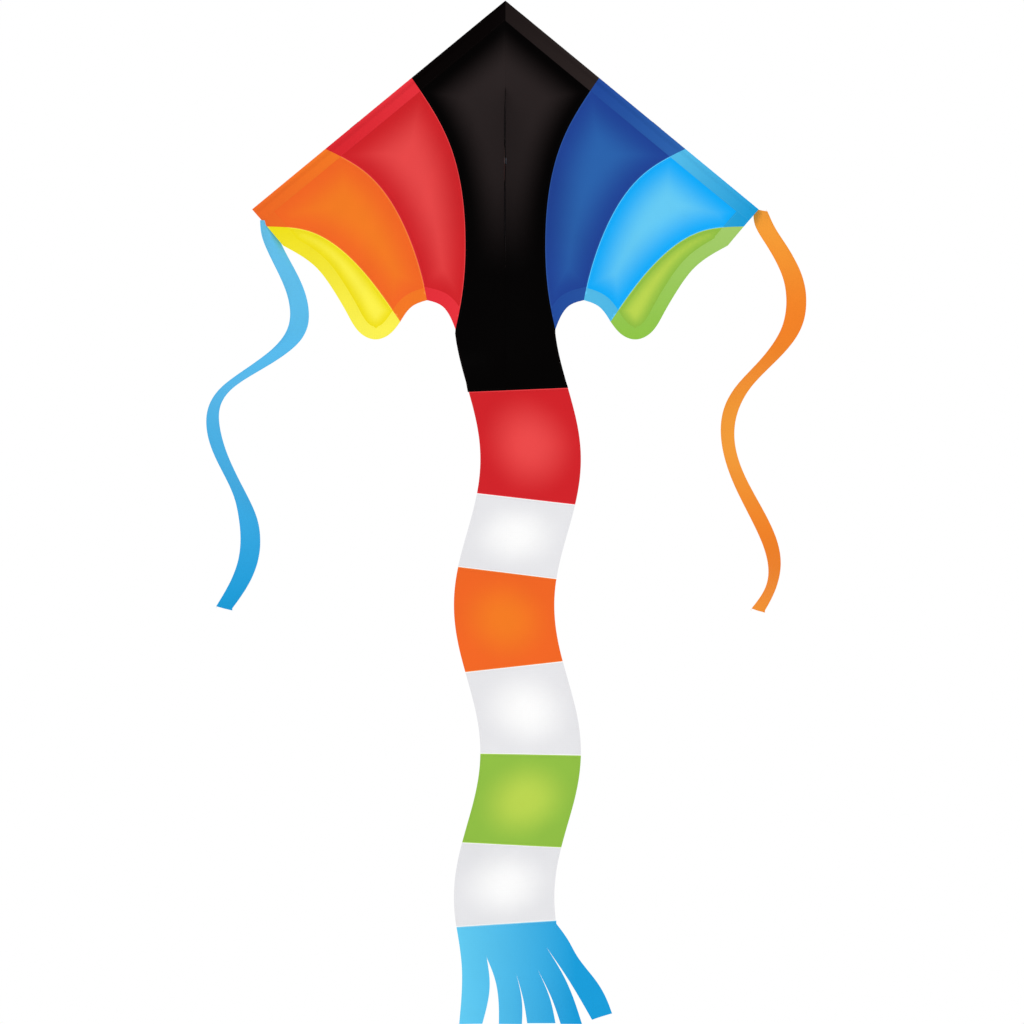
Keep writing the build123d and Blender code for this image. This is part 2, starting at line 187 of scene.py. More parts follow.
# each ribbon: its middle from the wing tip down, and its turn out of the view in degrees
RIBBONS = {
    "left": {
        "path": ((-549, 502), (-545, 534), (-535, 562), (-484, 672), (-477, 709), (-498, 780),
                 (-569, 837), (-641, 886), (-677, 971), (-654, 1054), (-610, 1146),
                 (-590, 1236), (-607, 1323), (-652, 1399)),
        "turn": ((490, 42), (560, 34), (640, 24), (760, 14), (856, -38), (900, -52), (1000, -45),
                 (1150, -42), (1210, -14), (1300, 4), (1400, 34)),
    },
    "right": {
        "path": ((589, 478), (598, 511), (624, 555), (664, 631), (673, 693), (656, 762), (607, 826),
                 (551, 886), (514, 985), (543, 1105), (592, 1201), (621, 1286),
                 (609, 1362), (583, 1404)),
        "turn": ((478, 54), (511, 27), (540, 15), (600, 4), (740, -4), (830, -34), (925, -40),
                 (1000, -47), (1100, -42), (1200, -32), (1293, -48), (1350, -56), (1404, -40)),
    },
}

TAPE_BULGE = 7.9                  # the tape stands this far behind the sail over the rod
TAPE_ROUND = 4.3                  # how wide that bulge is
TAPE_STITCH = 6.2
TAPE_OFFSETS = (0.7, 1.4, 2.2, 3, 3.8, 4.6, 5.6, 6.9, 7.5)
TAPE_FACE = 0.62                  # the tape's stitches stand this far off its middle
POCKET_EXTRA = 0.5                # a pocket stands this much further back than the sleeve
SLEEVE_REST = 1.25                # from the sail's middle back to the middle of the spine sleeve
KEEL_HEM = 9
KEEL_STITCH = 6.6
KEEL_BOW = 2.2
EYELET_HOLE = 4.4

# a stitch: how far its middle reaches to the side, above and below the cloth's face, and how
# far its ends dip into the cloth
THREAD_HALF = 0.34
THREAD_ABOVE = 0.42
THREAD_BELOW = 0.3
THREAD_DIP = 0.12

WINGS = {
    "left": {"side": -1, "inner": "red", "outer": "orange", "corner": "yellow"},
    "right": {"side": 1, "inner": "dark_blue", "outer": "light_blue", "corner": "green"},
}

# ---------------------------------------------------------------- colours


def linear(*rgb):
    """A colour given in display values from 0 to 255, as the shader wants it."""
    return tuple((c / 12.92 if c <= 0.04045 else ((c + 0.055) / 1.055) ** 2.4)
                 for c in (v / 255 for v in rgb))


# the cloths: near the seams and in the middle of a panel, between which runs a painted glow that lights
# the panel's middle (on the tail's blue end and the ribbons, the two ends of their run of tone), the
# hem at its two ends, the seam line
CLOTH_PARTS = ("edge", "middle", "hem", "hem_end", "seam")
CLOTHS = {
    "black": ((1, 0, 0), (42, 35, 35), (4, 1, 1), (44, 36, 35), (6, 4, 4)),
    "red": ((209, 30, 37), (236, 72, 72), (233, 47, 58), (218, 34, 44), (238, 66, 70)),
    "orange": ((243, 103, 33), (246, 124, 31), (245, 121, 32), (239, 103, 33), (252, 140, 56)),
    "yellow": ((240, 224, 17), (253, 242, 74), (241, 225, 17), (253, 243, 82), (255, 246, 70)),
    "dark_blue": ((28, 67, 152), (40, 100, 176), (29, 72, 156), (42, 98, 174), (44, 88, 168)),
    "light_blue": ((0, 173, 254), (102, 204, 246), (84, 190, 235), (19, 157, 218), (96, 206, 255)),
    "green": ((146, 192, 68), (189, 216, 80), (166, 206, 107), (143, 198, 69), (176, 216, 92)),
    "white": ((232, 232, 235), (254, 254, 254), (236, 236, 239), (236, 236, 239), (255, 255, 255)),
    "tail_blue": ((98, 205, 245), (18, 158, 220), (98, 205, 245), (18, 158, 220), (150, 216, 244)),
    "blue_ribbon": ((105, 200, 245), (16, 157, 219), (105, 200, 245), (16, 157, 219), (110, 204, 246)),
    "orange_ribbon": ((250, 160, 53), (243, 130, 34), (250, 160, 53), (243, 130, 34), (252, 166, 70)),
}


def slot_of(cloth):
    """The record's material slot for a cloth."""
    return cloth if cloth.endswith("_ribbon") else cloth + "_cloth"


class KiteColours(bpy.types.PropertyGroup):
    """The colours of each cloth, with the colours of its painted glow."""

    __annotations__ = {
        f"{cloth}_{part}": FloatVectorProperty(
            name=f"{cloth} {part}".replace("_", " ").capitalize(),
            description=f"Colour of the {cloth.replace('_', ' ')} cloth, {part.replace('_', ' ')}",
            subtype="COLOR", size=3, min=0, max=1, default=linear(*colour),
        )
        for cloth, colours in CLOTHS.items()
        for part, colour in zip(CLOTH_PARTS, colours)
    }


class KiteSizes(bpy.types.PropertyGroup):
    """The sizes of the cloth and the stitching."""

    cloth: FloatProperty(
        name="Cloth", description="Half the thickness of one layer of cloth", unit="LENGTH",
        default=0.35 * MM, min=0.1 * MM, max=2 * MM)
    pillow: FloatProperty(
        name="Pillow", description="How far a panel fills between its seams", unit="LENGTH",
        default=3.5 * MM, min=0, max=6 * MM)
    grid: FloatProperty(
        name="Ripstop grid", description="Distance between the thick threads", unit="LENGTH",
        default=5 * MM, min=2 * MM, max=20 * MM)
    stitch: FloatProperty(
        name="Stitch", description="Length of one stitch", unit="LENGTH",
        default=2.6 * MM, min=1 * MM, max=6 * MM)
    grain: FloatProperty(
        name="Mesh grain", description="Distance between the points of a panel's mesh",
        unit="LENGTH", default=8 * MM, min=4 * MM, max=30 * MM)


# ---------------------------------------------------------------- plan geometry


def smooth(value, start, end):
    """0 before start, 1 after end and an even turn between them."""
    t = np.clip((np.asarray(value, float) - start) / (end - start), 0, 1)
    return t * t * (3 - 2 * t)


def spline(places, spacing=6.0):
    """Evenly spaced points on a smooth curve through the given places."""
    points = np.array(places, float)
    knots = np.r_[0, np.cumsum(np.linalg.norm(np.diff(points, axis=0), axis=1))]
    count = max(2, round(knots[-1] / spacing) + 1)
    return through(knots, points, np.linspace(0, knots[-1], count))


def through(knots, points, at):
    """The natural cubic curve through points at the knots, read at other places."""
    gaps = np.diff(knots)
    last = len(points) - 1
    system = np.eye(last + 1)
    turns = np.zeros((last + 1,) + points.shape[1:])
    slopes = np.diff(points, axis=0) / gaps.reshape((-1,) + (1,) * (points.ndim - 1))
    for i in range(1, last):
        system[i, i - 1:i + 2] = gaps[i - 1], 2 * (gaps[i - 1] + gaps[i]), gaps[i]
        turns[i] = 6 * (slopes[i] - slopes[i - 1])
    bend = np.linalg.solve(system, turns)
    k = np.clip(np.searchsorted(knots, at, side="right") - 1, 0, last - 1)
    shape = (-1,) + (1,) * (points.ndim - 1)
    before = (at - knots[k]).reshape(shape)
    after = (knots[k + 1] - at).reshape(shape)
    gap = gaps[k].reshape(shape)
    cubic = (bend[k] * after ** 3 + bend[k + 1] * before ** 3) / (6 * gap)
    straight = (points[k] / gap - bend[k] * gap / 6) * after
    return cubic + straight + (points[k + 1] / gap - bend[k + 1] * gap / 6) * before


def column_at(places):
    """The distance across as a smooth function of the drop."""
    table = np.array(places, float)
    return lambda drop: through(table[:, 1], table[:, 0], np.clip(drop, table[0, 1], table[-1, 1]))


def straight(start, end, spacing=6.0):
    """Evenly spaced points on the line between two places."""
    length = math.dist(start, end)
    count = max(2, round(length / spacing) + 1)
    return np.linspace(start, end, count)


def distance(points, line):
    """How far each point is from a line of points."""
    best = np.full(len(points), 1e9)
    for start, end in zip(line[:-1], line[1:]):
        way = end - start
        share = np.clip(((points - start) @ way) / max(way @ way, 1e-9), 0, 1)
        best = np.minimum(best, np.linalg.norm(points - start - share[:, None] * way, axis=1))
    return best


def longer(line, by=25.0):
    """The line with a straight stretch added at both ends."""
    ahead = (line[0] - line[1]) / np.linalg.norm(line[0] - line[1])
    behind = (line[-1] - line[-2]) / np.linalg.norm(line[-1] - line[-2])
    return np.vstack([line[0] + ahead * by, line, line[-1] + behind * by])


def beside(line, offset):
    """Points at a distance on one side of a line."""
    way = np.gradient(line, axis=0)
    way /= np.linalg.norm(way, axis=1)[:, None]
    return line + np.column_stack([-way[:, 1], way[:, 0]]) * offset


def inside(points, ring):
    """Which points lie inside a closed ring."""
    result = np.zeros(len(points), bool)
    for (x1, y1), (x2, y2) in zip(ring, np.roll(ring, -1, axis=0)):
        if y1 == y2:
            continue
        crosses = (y1 > points[:, 1]) != (y2 > points[:, 1])
        result ^= crosses & (points[:, 0] < (x2 - x1) * (points[:, 1] - y1) / (y2 - y1) + x1)
    return result


def ring_of(borders):
    """The closed ring of points made by the borders of a panel, end to end."""
    lines = [border["line"] for border in borders]
    starts, ends = (min(math.dist(lines[0][i], lines[1][j]) for j in (0, -1)) for i in (0, -1))
    ring = [lines[0][::-1] if starts < ends else lines[0]]
    for line in lines[1:]:
        end = ring[-1][-1]
        if np.linalg.norm(line[-1] - end) < np.linalg.norm(line[0] - end):
            line = line[::-1]
        ring.append(line)
    return np.vstack([line[:-1] for line in ring])


def border(line, kind, width=0.0, flat=0.0):
    """One border of a panel: its points, what it is, its hem and the flat cloth beside it."""
    return {"line": line, "kind": kind, "width": width, "flat": flat}


def rows_beside(borders, ring, kind, offset):
    """Runs of points inside a panel at an offset from its borders of one kind."""
    hems = [b for b in borders if b["width"]]
    runs = []
    for own in (b for b in borders if b["kind"] == kind):
        line = longer(own["line"])
        middle = own["line"][len(own["line"]) // 2]
        side = beside(line, offset)
        probe = beside(line, 2.0)[np.argmin(np.linalg.norm(line - middle, axis=1))]
        if not inside(probe[None], ring)[0]:
            side = beside(line, -offset)
        keep = distance(side, line) > offset - 0.05
        for hem in hems:
            if hem is not own:
                depth = hem["width"] - own["width"] + offset if own["width"] else hem["width"]
                keep &= distance(side, longer(hem["line"])) > depth - 0.05
        start = None
        for i, good in enumerate(np.r_[keep, False]):
            if good and start is None:
                start = i
            elif not good and start is not None:
                if i - start > 1:
                    runs.append(side[start:i])
                start = None
    return runs


def triangulate(ring, rows, spacing, keep=None, holes=()):
    """Points and triangles that fill a ring, with rows of points kept as edges."""
    low, high = ring.min(0), ring.max(0)
    grid = []
    step = spacing * math.sqrt(3) / 2
    for i in range(int((high[1] - low[1]) / step) + 1):
        start = low[0] + (spacing / 2 if i % 2 else 0)
        across = np.arange(start, high[0], spacing)
        grid.append(np.column_stack([across, np.full(len(across), low[1] + i * step)]))
    grid = np.vstack(grid)
    grid = grid[inside(grid, ring)]
    for line in [closed_ring(ring), *rows, *(closed_ring(hole) for hole in holes)]:
        grid = grid[distance(grid, line) > spacing * 0.45]
    points = [ring]
    edges = [(i, (i + 1) % len(ring)) for i in range(len(ring))]
    used = len(ring)
    for hole in holes:
        points.append(hole)
        edges += [(used + i, used + (i + 1) % len(hole)) for i in range(len(hole))]
        used += len(hole)
    for row in rows:
        points.append(row)
        edges += [(used + i, used + i + 1) for i in range(len(row) - 1)]
        used += len(row)
    points = np.vstack(points + [grid])
    made = delaunay_2d_cdt([Vector(p) for p in points], edges, [], 0, 1e-3)
    points = np.array([tuple(p) for p in made[0]])
    faces = np.array([f for f in made[2] if len(f) == 3])
    centres = points[faces].mean(1)
    good = inside(centres, ring)
    for hole in holes:
        good &= ~inside(centres, hole)
    if keep is not None:
        good &= keep(centres)
    return tidy_mesh(points, faces[good])


def tidy_mesh(points, faces):
    """Drops the points that no face uses."""
    used = np.unique(np.concatenate([np.asarray(f) for f in faces]))
    place = {old: new for new, old in enumerate(used)}
    return points[used], [tuple(place[i] for i in f) for f in faces]


def grid_faces(rows, columns):
    """The four-sided faces of a grid of points in rows."""
    faces = []
    for r in range(rows - 1):
        for c in range(columns - 1):
            at = r * columns + c
            faces.append((at, at + 1, at + columns + 1, at + columns))
    return faces


def graded(length, ends, spacing):
    """Places along a length: given ones from both ends and even ones between them."""
    ends = [e for e in ends if e < length / 2 - 1]
    inner = length - 2 * ends[-1]
    count = max(1, round(inner / spacing))
    between = [ends[-1] + inner * i / count for i in range(1, count)]
    return np.array(ends + between + [length - e for e in reversed(ends)])


# ---------------------------------------------------------------- the shape of the sails


def billow_axis():
    """The axis of the cone that holds the spine and the leading edge of the right wing."""
    spine = np.array((0.0, 0.0, -1.0))
    edge = np.array((HALF_SPAN, TIP_BACK, -TIP_DROP))
    edge /= np.linalg.norm(edge)
    half = math.acos(spine @ edge) / 2
    middle = (spine + edge) / np.linalg.norm(spine + edge)
    forward = np.cross(spine, edge)
    forward /= np.linalg.norm(forward)
    if forward[1] > 0:
        forward = -forward
    lean = math.acos(math.cos(math.radians(BILLOW_CONE_ANGLE)) / math.cos(half))
    return middle * math.cos(lean) + forward * math.sin(lean)


AXIS = billow_axis()
CONE_COS = math.cos(math.radians(BILLOW_CONE_ANGLE))
EDGE_WAY = np.array((HALF_SPAN, TIP_DROP)) / math.hypot(HALF_SPAN, TIP_DROP)
EDGE_IN = np.array((-EDGE_WAY[1], EDGE_WAY[0]))
EDGE_TURN = math.atan2(HALF_SPAN, TIP_DROP)
EDGE_STRETCH = math.sqrt(1 + (TIP_BACK / math.hypot(HALF_SPAN, TIP_DROP)) ** 2)


def billow(across, drop):
    """How far behind the spine the filled wing lies."""
    a = AXIS[1] ** 2 - CONE_COS ** 2
    lean = AXIS[0] * across - AXIS[2] * drop
    b = 2 * lean * AXIS[1]
    c = lean ** 2 - CONE_COS ** 2 * (across ** 2 + drop ** 2)
    root = np.sqrt(np.maximum(b * b - 4 * a * c, 0))
    first, second = (-b + root) / (2 * a), (-b - root) / (2 * a)
    return np.where(np.abs(first) < np.abs(second), first, second)


def ripple(across, drop):
    """Folds that run out from the nose and grow towards the trailing edge."""
    reach = np.hypot(across, drop)
    share = np.clip(np.arctan2(across, drop) / EDGE_TURN, 0, 1)
    height = FOLD_NOSE + FOLD_GROWS * smooth(reach, *FOLD_REACH)
    broad = 0.65 * np.sin(9 * math.pi * share + 0.6)
    narrow = 0.3 * np.sin(19 * math.pi * share + reach / 80)
    return np.sin(math.pi * share) * height * (broad + narrow)


def circle(radius, degrees):
    """Points on a circle about the plan's origin, at the given angles."""
    turns = np.radians(degrees)
    return np.column_stack([np.cos(turns), np.sin(turns)]) * radius


def closed_ring(ring):
    """A ring with its first point added again at the end."""
    return np.vstack([ring, ring[:1]])


def tail_middle(drop):
    """How far right of the spine the tail's middle lies."""
    phase = 2 * math.pi * (drop - TAIL_SWAY_PHASE) / TAIL_SWAY_LENGTH
    return TAIL_MIDDLE + TAIL_SWAY * np.cos(phase)


def tail_wave(drop):
    """How far behind the spine the tail lies."""
    return TAIL_WAVE * np.sin(2 * math.pi * (drop - TAIL_TOP) / TAIL_WAVE_LENGTH)


def place(across, back, drop, side=1):
    """Points in the frame, in metres, from places on the plan."""
    return np.column_stack([side * across, SPINE + back, NOSE - drop]) * MM


def seam_drop(band, across):
    """The drop of a band's upper seam at a distance across."""
    drop, slope, _ = BANDS[band]
    return drop + math.tan(math.radians(slope)) * (across - tail_middle(drop))


def normals_at(surface, plan):
    """The way that the back of a surface faces, at places on the plan."""
    across = surface(plan + (0.7, 0)) - surface(plan - (0.7, 0))
    down = surface(plan + (0, 0.7)) - surface(plan - (0, 0.7))
    normal = np.cross(across, down)
    normal /= np.linalg.norm(normal, axis=1)[:, None]
    return normal


# ---------------------------------------------------------------- meshes


def point_normals(middle, faces):
    """The unit normal at each point of a mesh of three- and four-sided faces."""
    normal = np.zeros((len(middle), 3))
    for size in (3, 4):
        some = np.array([f for f in faces if len(f) == size])
        if len(some) == 0:
            continue
        corner = middle[some]
        if size == 3:
            facing = np.cross(corner[:, 1] - corner[:, 0], corner[:, 2] - corner[:, 0])
        else:
            facing = np.cross(corner[:, 2] - corner[:, 0], corner[:, 3] - corner[:, 1])
        for i in range(size):
            np.add.at(normal, some[:, i], facing)
    return normal / np.maximum(np.linalg.norm(normal, axis=1), 1e-12)[:, None]


def plain_marks(faces, hem=0.0):
    """The marks of a cloth without seam lines that is all panel (0) or all hem (1)."""
    return {"hem": np.full(len(faces), hem), "seam_line": np.zeros(len(faces))}


def cloth_mesh(name, middle, faces, front, values, marks, plan, back=None, sharp=18):
    """A closed sheet of cloth.

    It takes the middle surface with its faces and the half thicknesses to the front and the
    back. Values are kept on the points, marks on the faces.
    """
    middle = np.asarray(middle, float)
    back = front if back is None else back
    count = len(middle)
    normal = point_normals(middle, faces)
    if normal[:, 1].sum() > 0 or (abs(normal[:, 1].sum()) < 1e-6 and normal[:, 0].sum() > 0):
        faces = [tuple(reversed(f)) for f in faces]
        normal = -normal
    front_points = middle + normal * np.broadcast_to(front, count)[:, None]
    back_points = middle - normal * np.broadcast_to(back, count)[:, None]
    every = [tuple(int(i) for i in f) for f in faces]
    shared = {(f[i], f[(i + 1) % len(f)]) for f in every for i in range(len(f))}
    rims = sorted((a, b) for a, b in shared if (b, a) not in shared)
    sides = [(b, a, a + count, b + count) for a, b in rims]
    backs = [tuple(i + count for i in reversed(f)) for f in every]
    mesh = bpy.data.meshes.new(name)
    points = np.vstack([front_points, back_points])
    mesh.from_pydata([tuple(p) for p in points], [], every + backs + sides)
    mesh.shade_smooth()
    mesh.set_sharp_from_angle(angle=math.radians(sharp))
    for key, value in values.items():
        layer = mesh.attributes.new(key, "FLOAT", "POINT")
        layer.data.foreach_set("value", np.tile(np.broadcast_to(value, count), 2).astype(np.float32))
    for key, value in marks.items():
        value = np.asarray(value, float)
        layer = mesh.attributes.new(key, "FLOAT", "FACE")
        whole = np.concatenate([value, value, np.zeros(len(sides))])
        layer.data.foreach_set("value", whole.astype(np.float32))
    layer = mesh.attributes.new("plan", "FLOAT_VECTOR", "POINT")
    flat = np.column_stack([plan, np.zeros(count)]) * MM
    layer.data.foreach_set("vector", np.vstack([flat, flat]).astype(np.float32).ravel())
    return add_object(name, mesh)


def add_object(name, mesh):
    """Puts a mesh in the scene."""
    thing = bpy.data.objects.new(name, mesh)
    bpy.context.scene.collection.objects.link(thing)
    return thing


def along(line, spacing):
    """Points at an even spacing on a line."""
    if len(line) < 2:
        return line[:0]
    steps = np.r_[0, np.cumsum(np.linalg.norm(np.diff(line, axis=0), axis=1))]
    count = int(steps[-1] / spacing)
    at = (np.arange(count) + 0.5) * steps[-1] / max(count, 1)
    return np.column_stack([np.interp(at, steps, line[:, i]) for i in range(line.shape[1])])


def stitching(name, surface, rows, lift, cloth):
    """Rows of thread on both faces of a cloth; lift is how far its faces stand off its middle."""
    length = bpy.context.scene.kite_sizes.stitch / MM
    points, faces = [], []
    for row in rows:
        at = along(row, length * 1.35)
        if len(at) < 3:
            continue
        way = np.gradient(at, axis=0)
        way /= np.maximum(np.linalg.norm(way, axis=1), 1e-9)[:, None]
        ends = [surface(at - way * length / 2), surface(at + way * length / 2)]
        normal = normals_at(surface, at)
        for face in (-1, 1):
            out = normal * face
            tips = [end + out * (lift - THREAD_DIP) * MM for end in ends]
            centre = (ends[0] + ends[1]) / 2 + out * lift * MM
            thread = tips[1] - tips[0]
            thread /= np.linalg.norm(thread, axis=1)[:, None]
            wide = np.cross(thread, out) * THREAD_HALF * MM
            high, low = out * THREAD_ABOVE * MM, out * THREAD_BELOW * MM
            ring = [centre + wide, centre + high, centre - wide, centre - low]
            spindle = np.stack([tips[0], tips[1]] + ring, axis=1)
            for shape in spindle:
                base = len(points)
                points.extend(shape)
                for i in range(4):
                    a, b = base + 2 + i, base + 2 + (i + 1) % 4
                    faces.append((base, b, a))
                    faces.append((base + 1, a, b))
    mesh = bpy.data.meshes.new(name)
    mesh.from_pydata([tuple(p) for p in points], [], faces)
    mesh.shade_smooth()
    thing = add_object(name, mesh)
    dress(thing, thread_material(cloth))
    return thing


def dress(thing, *materials):
    """Gives a piece its materials."""
    thing.data.materials.clear()
    for material in materials:
        thing.data.materials.append(material)


# ---------------------------------------------------------------- shader nodes


def new_group(name, inputs, outputs):
    """An empty shader group with named sockets."""
    group = bpy.data.node_groups.new(name, "ShaderNodeTree")
    kinds = {"number": "NodeSocketFloat", "colour": "NodeSocketColor", "vector": "NodeSocketVector"}
    for label, kind, default in inputs:
        made = group.interface.new_socket(label, in_out="INPUT", socket_type=kinds[kind])
        if default is not None:
            made.default_value = default
    for label, kind in outputs:
        group.interface.new_socket(label, in_out="OUTPUT", socket_type=kinds[kind])
    return group


class Nodes:
    """Short ways to add and join nodes in one tree."""

    def __init__(self, tree):
        self.tree = tree

    def add(self, kind, inputs=None, **settings):
        node = self.tree.nodes.new(kind)
        for key, value in settings.items():
            setattr(node, key, value)
        for key, value in (inputs or {}).items():
            self.put(node.inputs[key], value)
        return node

    def put(self, socket, value):
        if isinstance(value, bpy.types.NodeSocket):
            self.tree.links.new(value, socket)
        else:
            socket.default_value = value

    def math(self, operation, *values, clamp=False):
        node = self.add("ShaderNodeMath", operation=operation, use_clamp=clamp)
        for socket, value in zip(node.inputs, values):
            self.put(socket, value)
        return node.outputs[0]

    def mix(self, share, first, second, blend="MIX"):
        node = self.add("ShaderNodeMix", data_type="RGBA", blend_type=blend)
        for label, value in ((0, share), (6, first), (7, second)):
            self.put(node.inputs[label], value)
        return node.outputs[2]

    def span(self, value, low, high, to_low=0.0, to_high=1.0):
        node = self.add("ShaderNodeMapRange", {
            "Value": value, "From Min": low, "From Max": high, "To Min": to_low, "To Max": to_high})
        return node.outputs["Result"]

    def noise(self, where, scale, detail=2.0, roughness=0.5):
        node = self.add("ShaderNodeTexNoise", {
            "Vector": where, "Scale": scale, "Detail": detail, "Roughness": roughness})
        return node.outputs[0]


def ripstop_group():
    """Ripstop cloth: a grid of thick threads over a fine plain weave, and soft creases."""
    name = "Ripstop Cloth"
    if name in bpy.data.node_groups:
        return bpy.data.node_groups[name]
    group = new_group(
        name,
        [("Place", "vector", None), ("Grid", "number", 0.005), ("Colour", "colour", (1, 1, 1, 1)),
         ("Tint", "number", 0.085)],
        [("Colour", "colour"), ("Height", "number"), ("Roughness", "number")])
    n = Nodes(group)
    given = n.add("NodeGroupInput").outputs
    parts = n.add("ShaderNodeSeparateXYZ", {"Vector": given["Place"]}).outputs
    lines, threads = [], []
    for axis in ("X", "Y"):
        turns = n.math("DIVIDE", parts[axis], given["Grid"])
        away = n.math("PINGPONG", turns, 0.5)
        lines.append(n.span(away, 0.44, 0.5))
        threads.append(n.math("SINE", n.math("MULTIPLY", turns, 2 * math.pi * 9)))
    line = n.math("MAXIMUM", *lines)
    weave = n.math("MULTIPLY", *threads)
    crease = n.noise(given["Place"], 34.0, 5.0, 0.62)
    cloud = n.noise(given["Place"], 9.0, 3.0, 0.5)
    shade = n.math("MULTIPLY_ADD", n.math("SUBTRACT", cloud, 0.5), given["Tint"], 1.0)
    shade = n.math("MULTIPLY_ADD", n.math("MULTIPLY", line, given["Tint"]), -0.4, shade)
    shade = n.math("MULTIPLY_ADD", n.math("MULTIPLY", weave, given["Tint"]), 0.12, shade)
    grey = n.add("ShaderNodeCombineColor", {0: shade, 1: shade, 2: shade}).outputs[0]
    colour = n.mix(1.0, given["Colour"], grey, "MULTIPLY")
    height = n.math("MULTIPLY_ADD", crease, 1.0, n.math("MULTIPLY", line, 0.22))
    height = n.math("MULTIPLY_ADD", weave, 0.035, height)
    rough = n.math("MULTIPLY_ADD", n.math("SUBTRACT", crease, 0.5), 0.22, 0.5)
    n.add("NodeGroupOutput", {"Colour": colour, "Height": height, "Roughness": rough})
    return group


def wear_group():
    """Rubbed edges and a fine pitted skin for moulded and metal fittings."""
    name = "Rubbed Edges"
    if name in bpy.data.node_groups:
        return bpy.data.node_groups[name]
    group = new_group(
        name,
        [("Base", "colour", (0, 0, 0, 1)), ("Worn", "colour", (1, 1, 1, 1)),
         ("Amount", "number", 0.5), ("Grain", "number", 900.0)],
        [("Colour", "colour"), ("Height", "number"), ("Roughness", "number")])
    n = Nodes(group)
    given = n.add("NodeGroupInput").outputs
    where = n.add("ShaderNodeTexCoord").outputs["Object"]
    point = n.add("ShaderNodeNewGeometry").outputs["Pointiness"]
    patch = n.noise(where, 180.0, 3.0, 0.6)
    grain = n.noise(where, given["Grain"], 2.0, 0.5)
    mask = n.math("MULTIPLY", n.span(point, 0.52, 0.62), n.span(patch, 0.4, 0.65))
    mask = n.math("MULTIPLY", mask, given["Amount"], clamp=True)
    colour = n.mix(mask, given["Base"], given["Worn"])
    rough = n.math("MULTIPLY_ADD", n.math("SUBTRACT", patch, 0.5), 0.25, 0.5)
    n.add("NodeGroupOutput", {"Colour": colour, "Height": grain, "Roughness": rough})
    return group


MADE = {}                         # the materials made so far, by name


def blank_material(name):
    """A new material with only a Principled shader, and its node helper."""
    material = bpy.data.materials.new(name)
    material.use_nodes = True
    material.node_tree.nodes.clear()
    n = Nodes(material.node_tree)
    shader = n.add("ShaderNodeBsdfPrincipled")
    n.add("ShaderNodeOutputMaterial", {"Surface": shader.outputs[0]})
    return material, n, shader


def placed(n, group, inputs):
    """Places a group in a material with its own values, and gives its outputs."""
    node = n.add("ShaderNodeGroup", node_tree=group)
    for key, value in inputs.items():
        n.put(node.inputs[key], value)
    return node.outputs


def cloth_material(cloth):
    """Ripstop cloth with a painted glow that lights the middle of a panel, with its hems and seam
    lines.
    """
    name = slot_of(cloth) + "_ripstop"
    if name in MADE:
        return MADE[name]
    material, n, shader = blank_material(name)
    colours = bpy.context.scene.kite_colours
    tone = {part: (*getattr(colours, f"{cloth}_{part}"), 1) for part in CLOTH_PARTS}
    mark = {
        key: n.add("ShaderNodeAttribute", attribute_name=key).outputs["Fac"]
        for key in ("glow", "hem_run", "hem", "seam_line")
    }
    # painted glow: the panel runs from its edge colour to a lighter middle colour, as if lit through
    # the cloth
    panel = n.mix(mark["glow"], tone["edge"], tone["middle"])
    hem = n.mix(mark["hem_run"], tone["hem"], tone["hem_end"])
    colour = n.mix(mark["hem"], panel, hem)
    colour = n.mix(mark["seam_line"], colour, tone["seam"])
    where = n.add("ShaderNodeAttribute", attribute_name="plan").outputs["Vector"]
    weave = placed(n, ripstop_group(), {
        "Place": where, "Grid": bpy.context.scene.kite_sizes.grid, "Colour": colour})
    bump = n.add("ShaderNodeBump", {"Height": weave["Height"], "Strength": 0.35, "Distance": 0.0006})
    n.put(shader.inputs["Base Color"], weave["Colour"])
    n.put(shader.inputs["Roughness"], weave["Roughness"])
    n.put(shader.inputs["Normal"], bump.outputs["Normal"])
    shader.inputs["Specular IOR Level"].default_value = 0.02 if cloth == "black" else 0.08
    shader.inputs["Sheen Weight"].default_value = 0.004 if cloth == "black" else 0.02
    shader.inputs["Sheen Roughness"].default_value = 0.4
    MADE[name] = material
    return material


def thread_material(cloth):
    """Twisted sewing thread, a little lighter than its cloth."""
    name = cloth + "_thread"
    if name in MADE:
        return MADE[name]
    material, n, shader = blank_material(name)
    base = getattr(bpy.context.scene.kite_colours, f"{cloth}_seam")
    where = n.add("ShaderNodeTexCoord").outputs["Object"]
    fibre = n.noise(where, 2600.0, 2.0, 0.6)
    dark = (*(c * 0.78 for c in base), 1)
    n.put(shader.inputs["Base Color"], n.mix(n.span(fibre, 0.35, 0.6), dark, (*base, 1)))
    bump = n.add("ShaderNodeBump", {"Height": fibre, "Strength": 0.3, "Distance": 0.0002})
    n.put(shader.inputs["Normal"], bump.outputs["Normal"])
    n.put(shader.inputs["Roughness"], n.span(fibre, 0.2, 0.8, 0.5, 0.75))
    shader.inputs["Specular IOR Level"].default_value = 0.2
    MADE[name] = material
    return material


def fitting_material(name, base, worn, metallic, coat, grain, depth):
    """A moulded or metal finish with rubbed edges and a fine grain."""
    if name in MADE:
        return MADE[name]
    material, n, shader = blank_material(name)
    skin = placed(n, wear_group(), {"Base": (*base, 1), "Worn": (*worn, 1), "Grain": grain})
    bump = n.add("ShaderNodeBump", {"Height": skin["Height"], "Strength": 0.25, "Distance": depth})
    n.put(shader.inputs["Base Color"], skin["Colour"])
    n.put(shader.inputs["Roughness"], skin["Roughness"])
    n.put(shader.inputs["Normal"], bump.outputs["Normal"])
    shader.inputs["Metallic"].default_value = metallic
    shader.inputs["Coat Weight"].default_value = coat
    MADE[name] = material
    return material


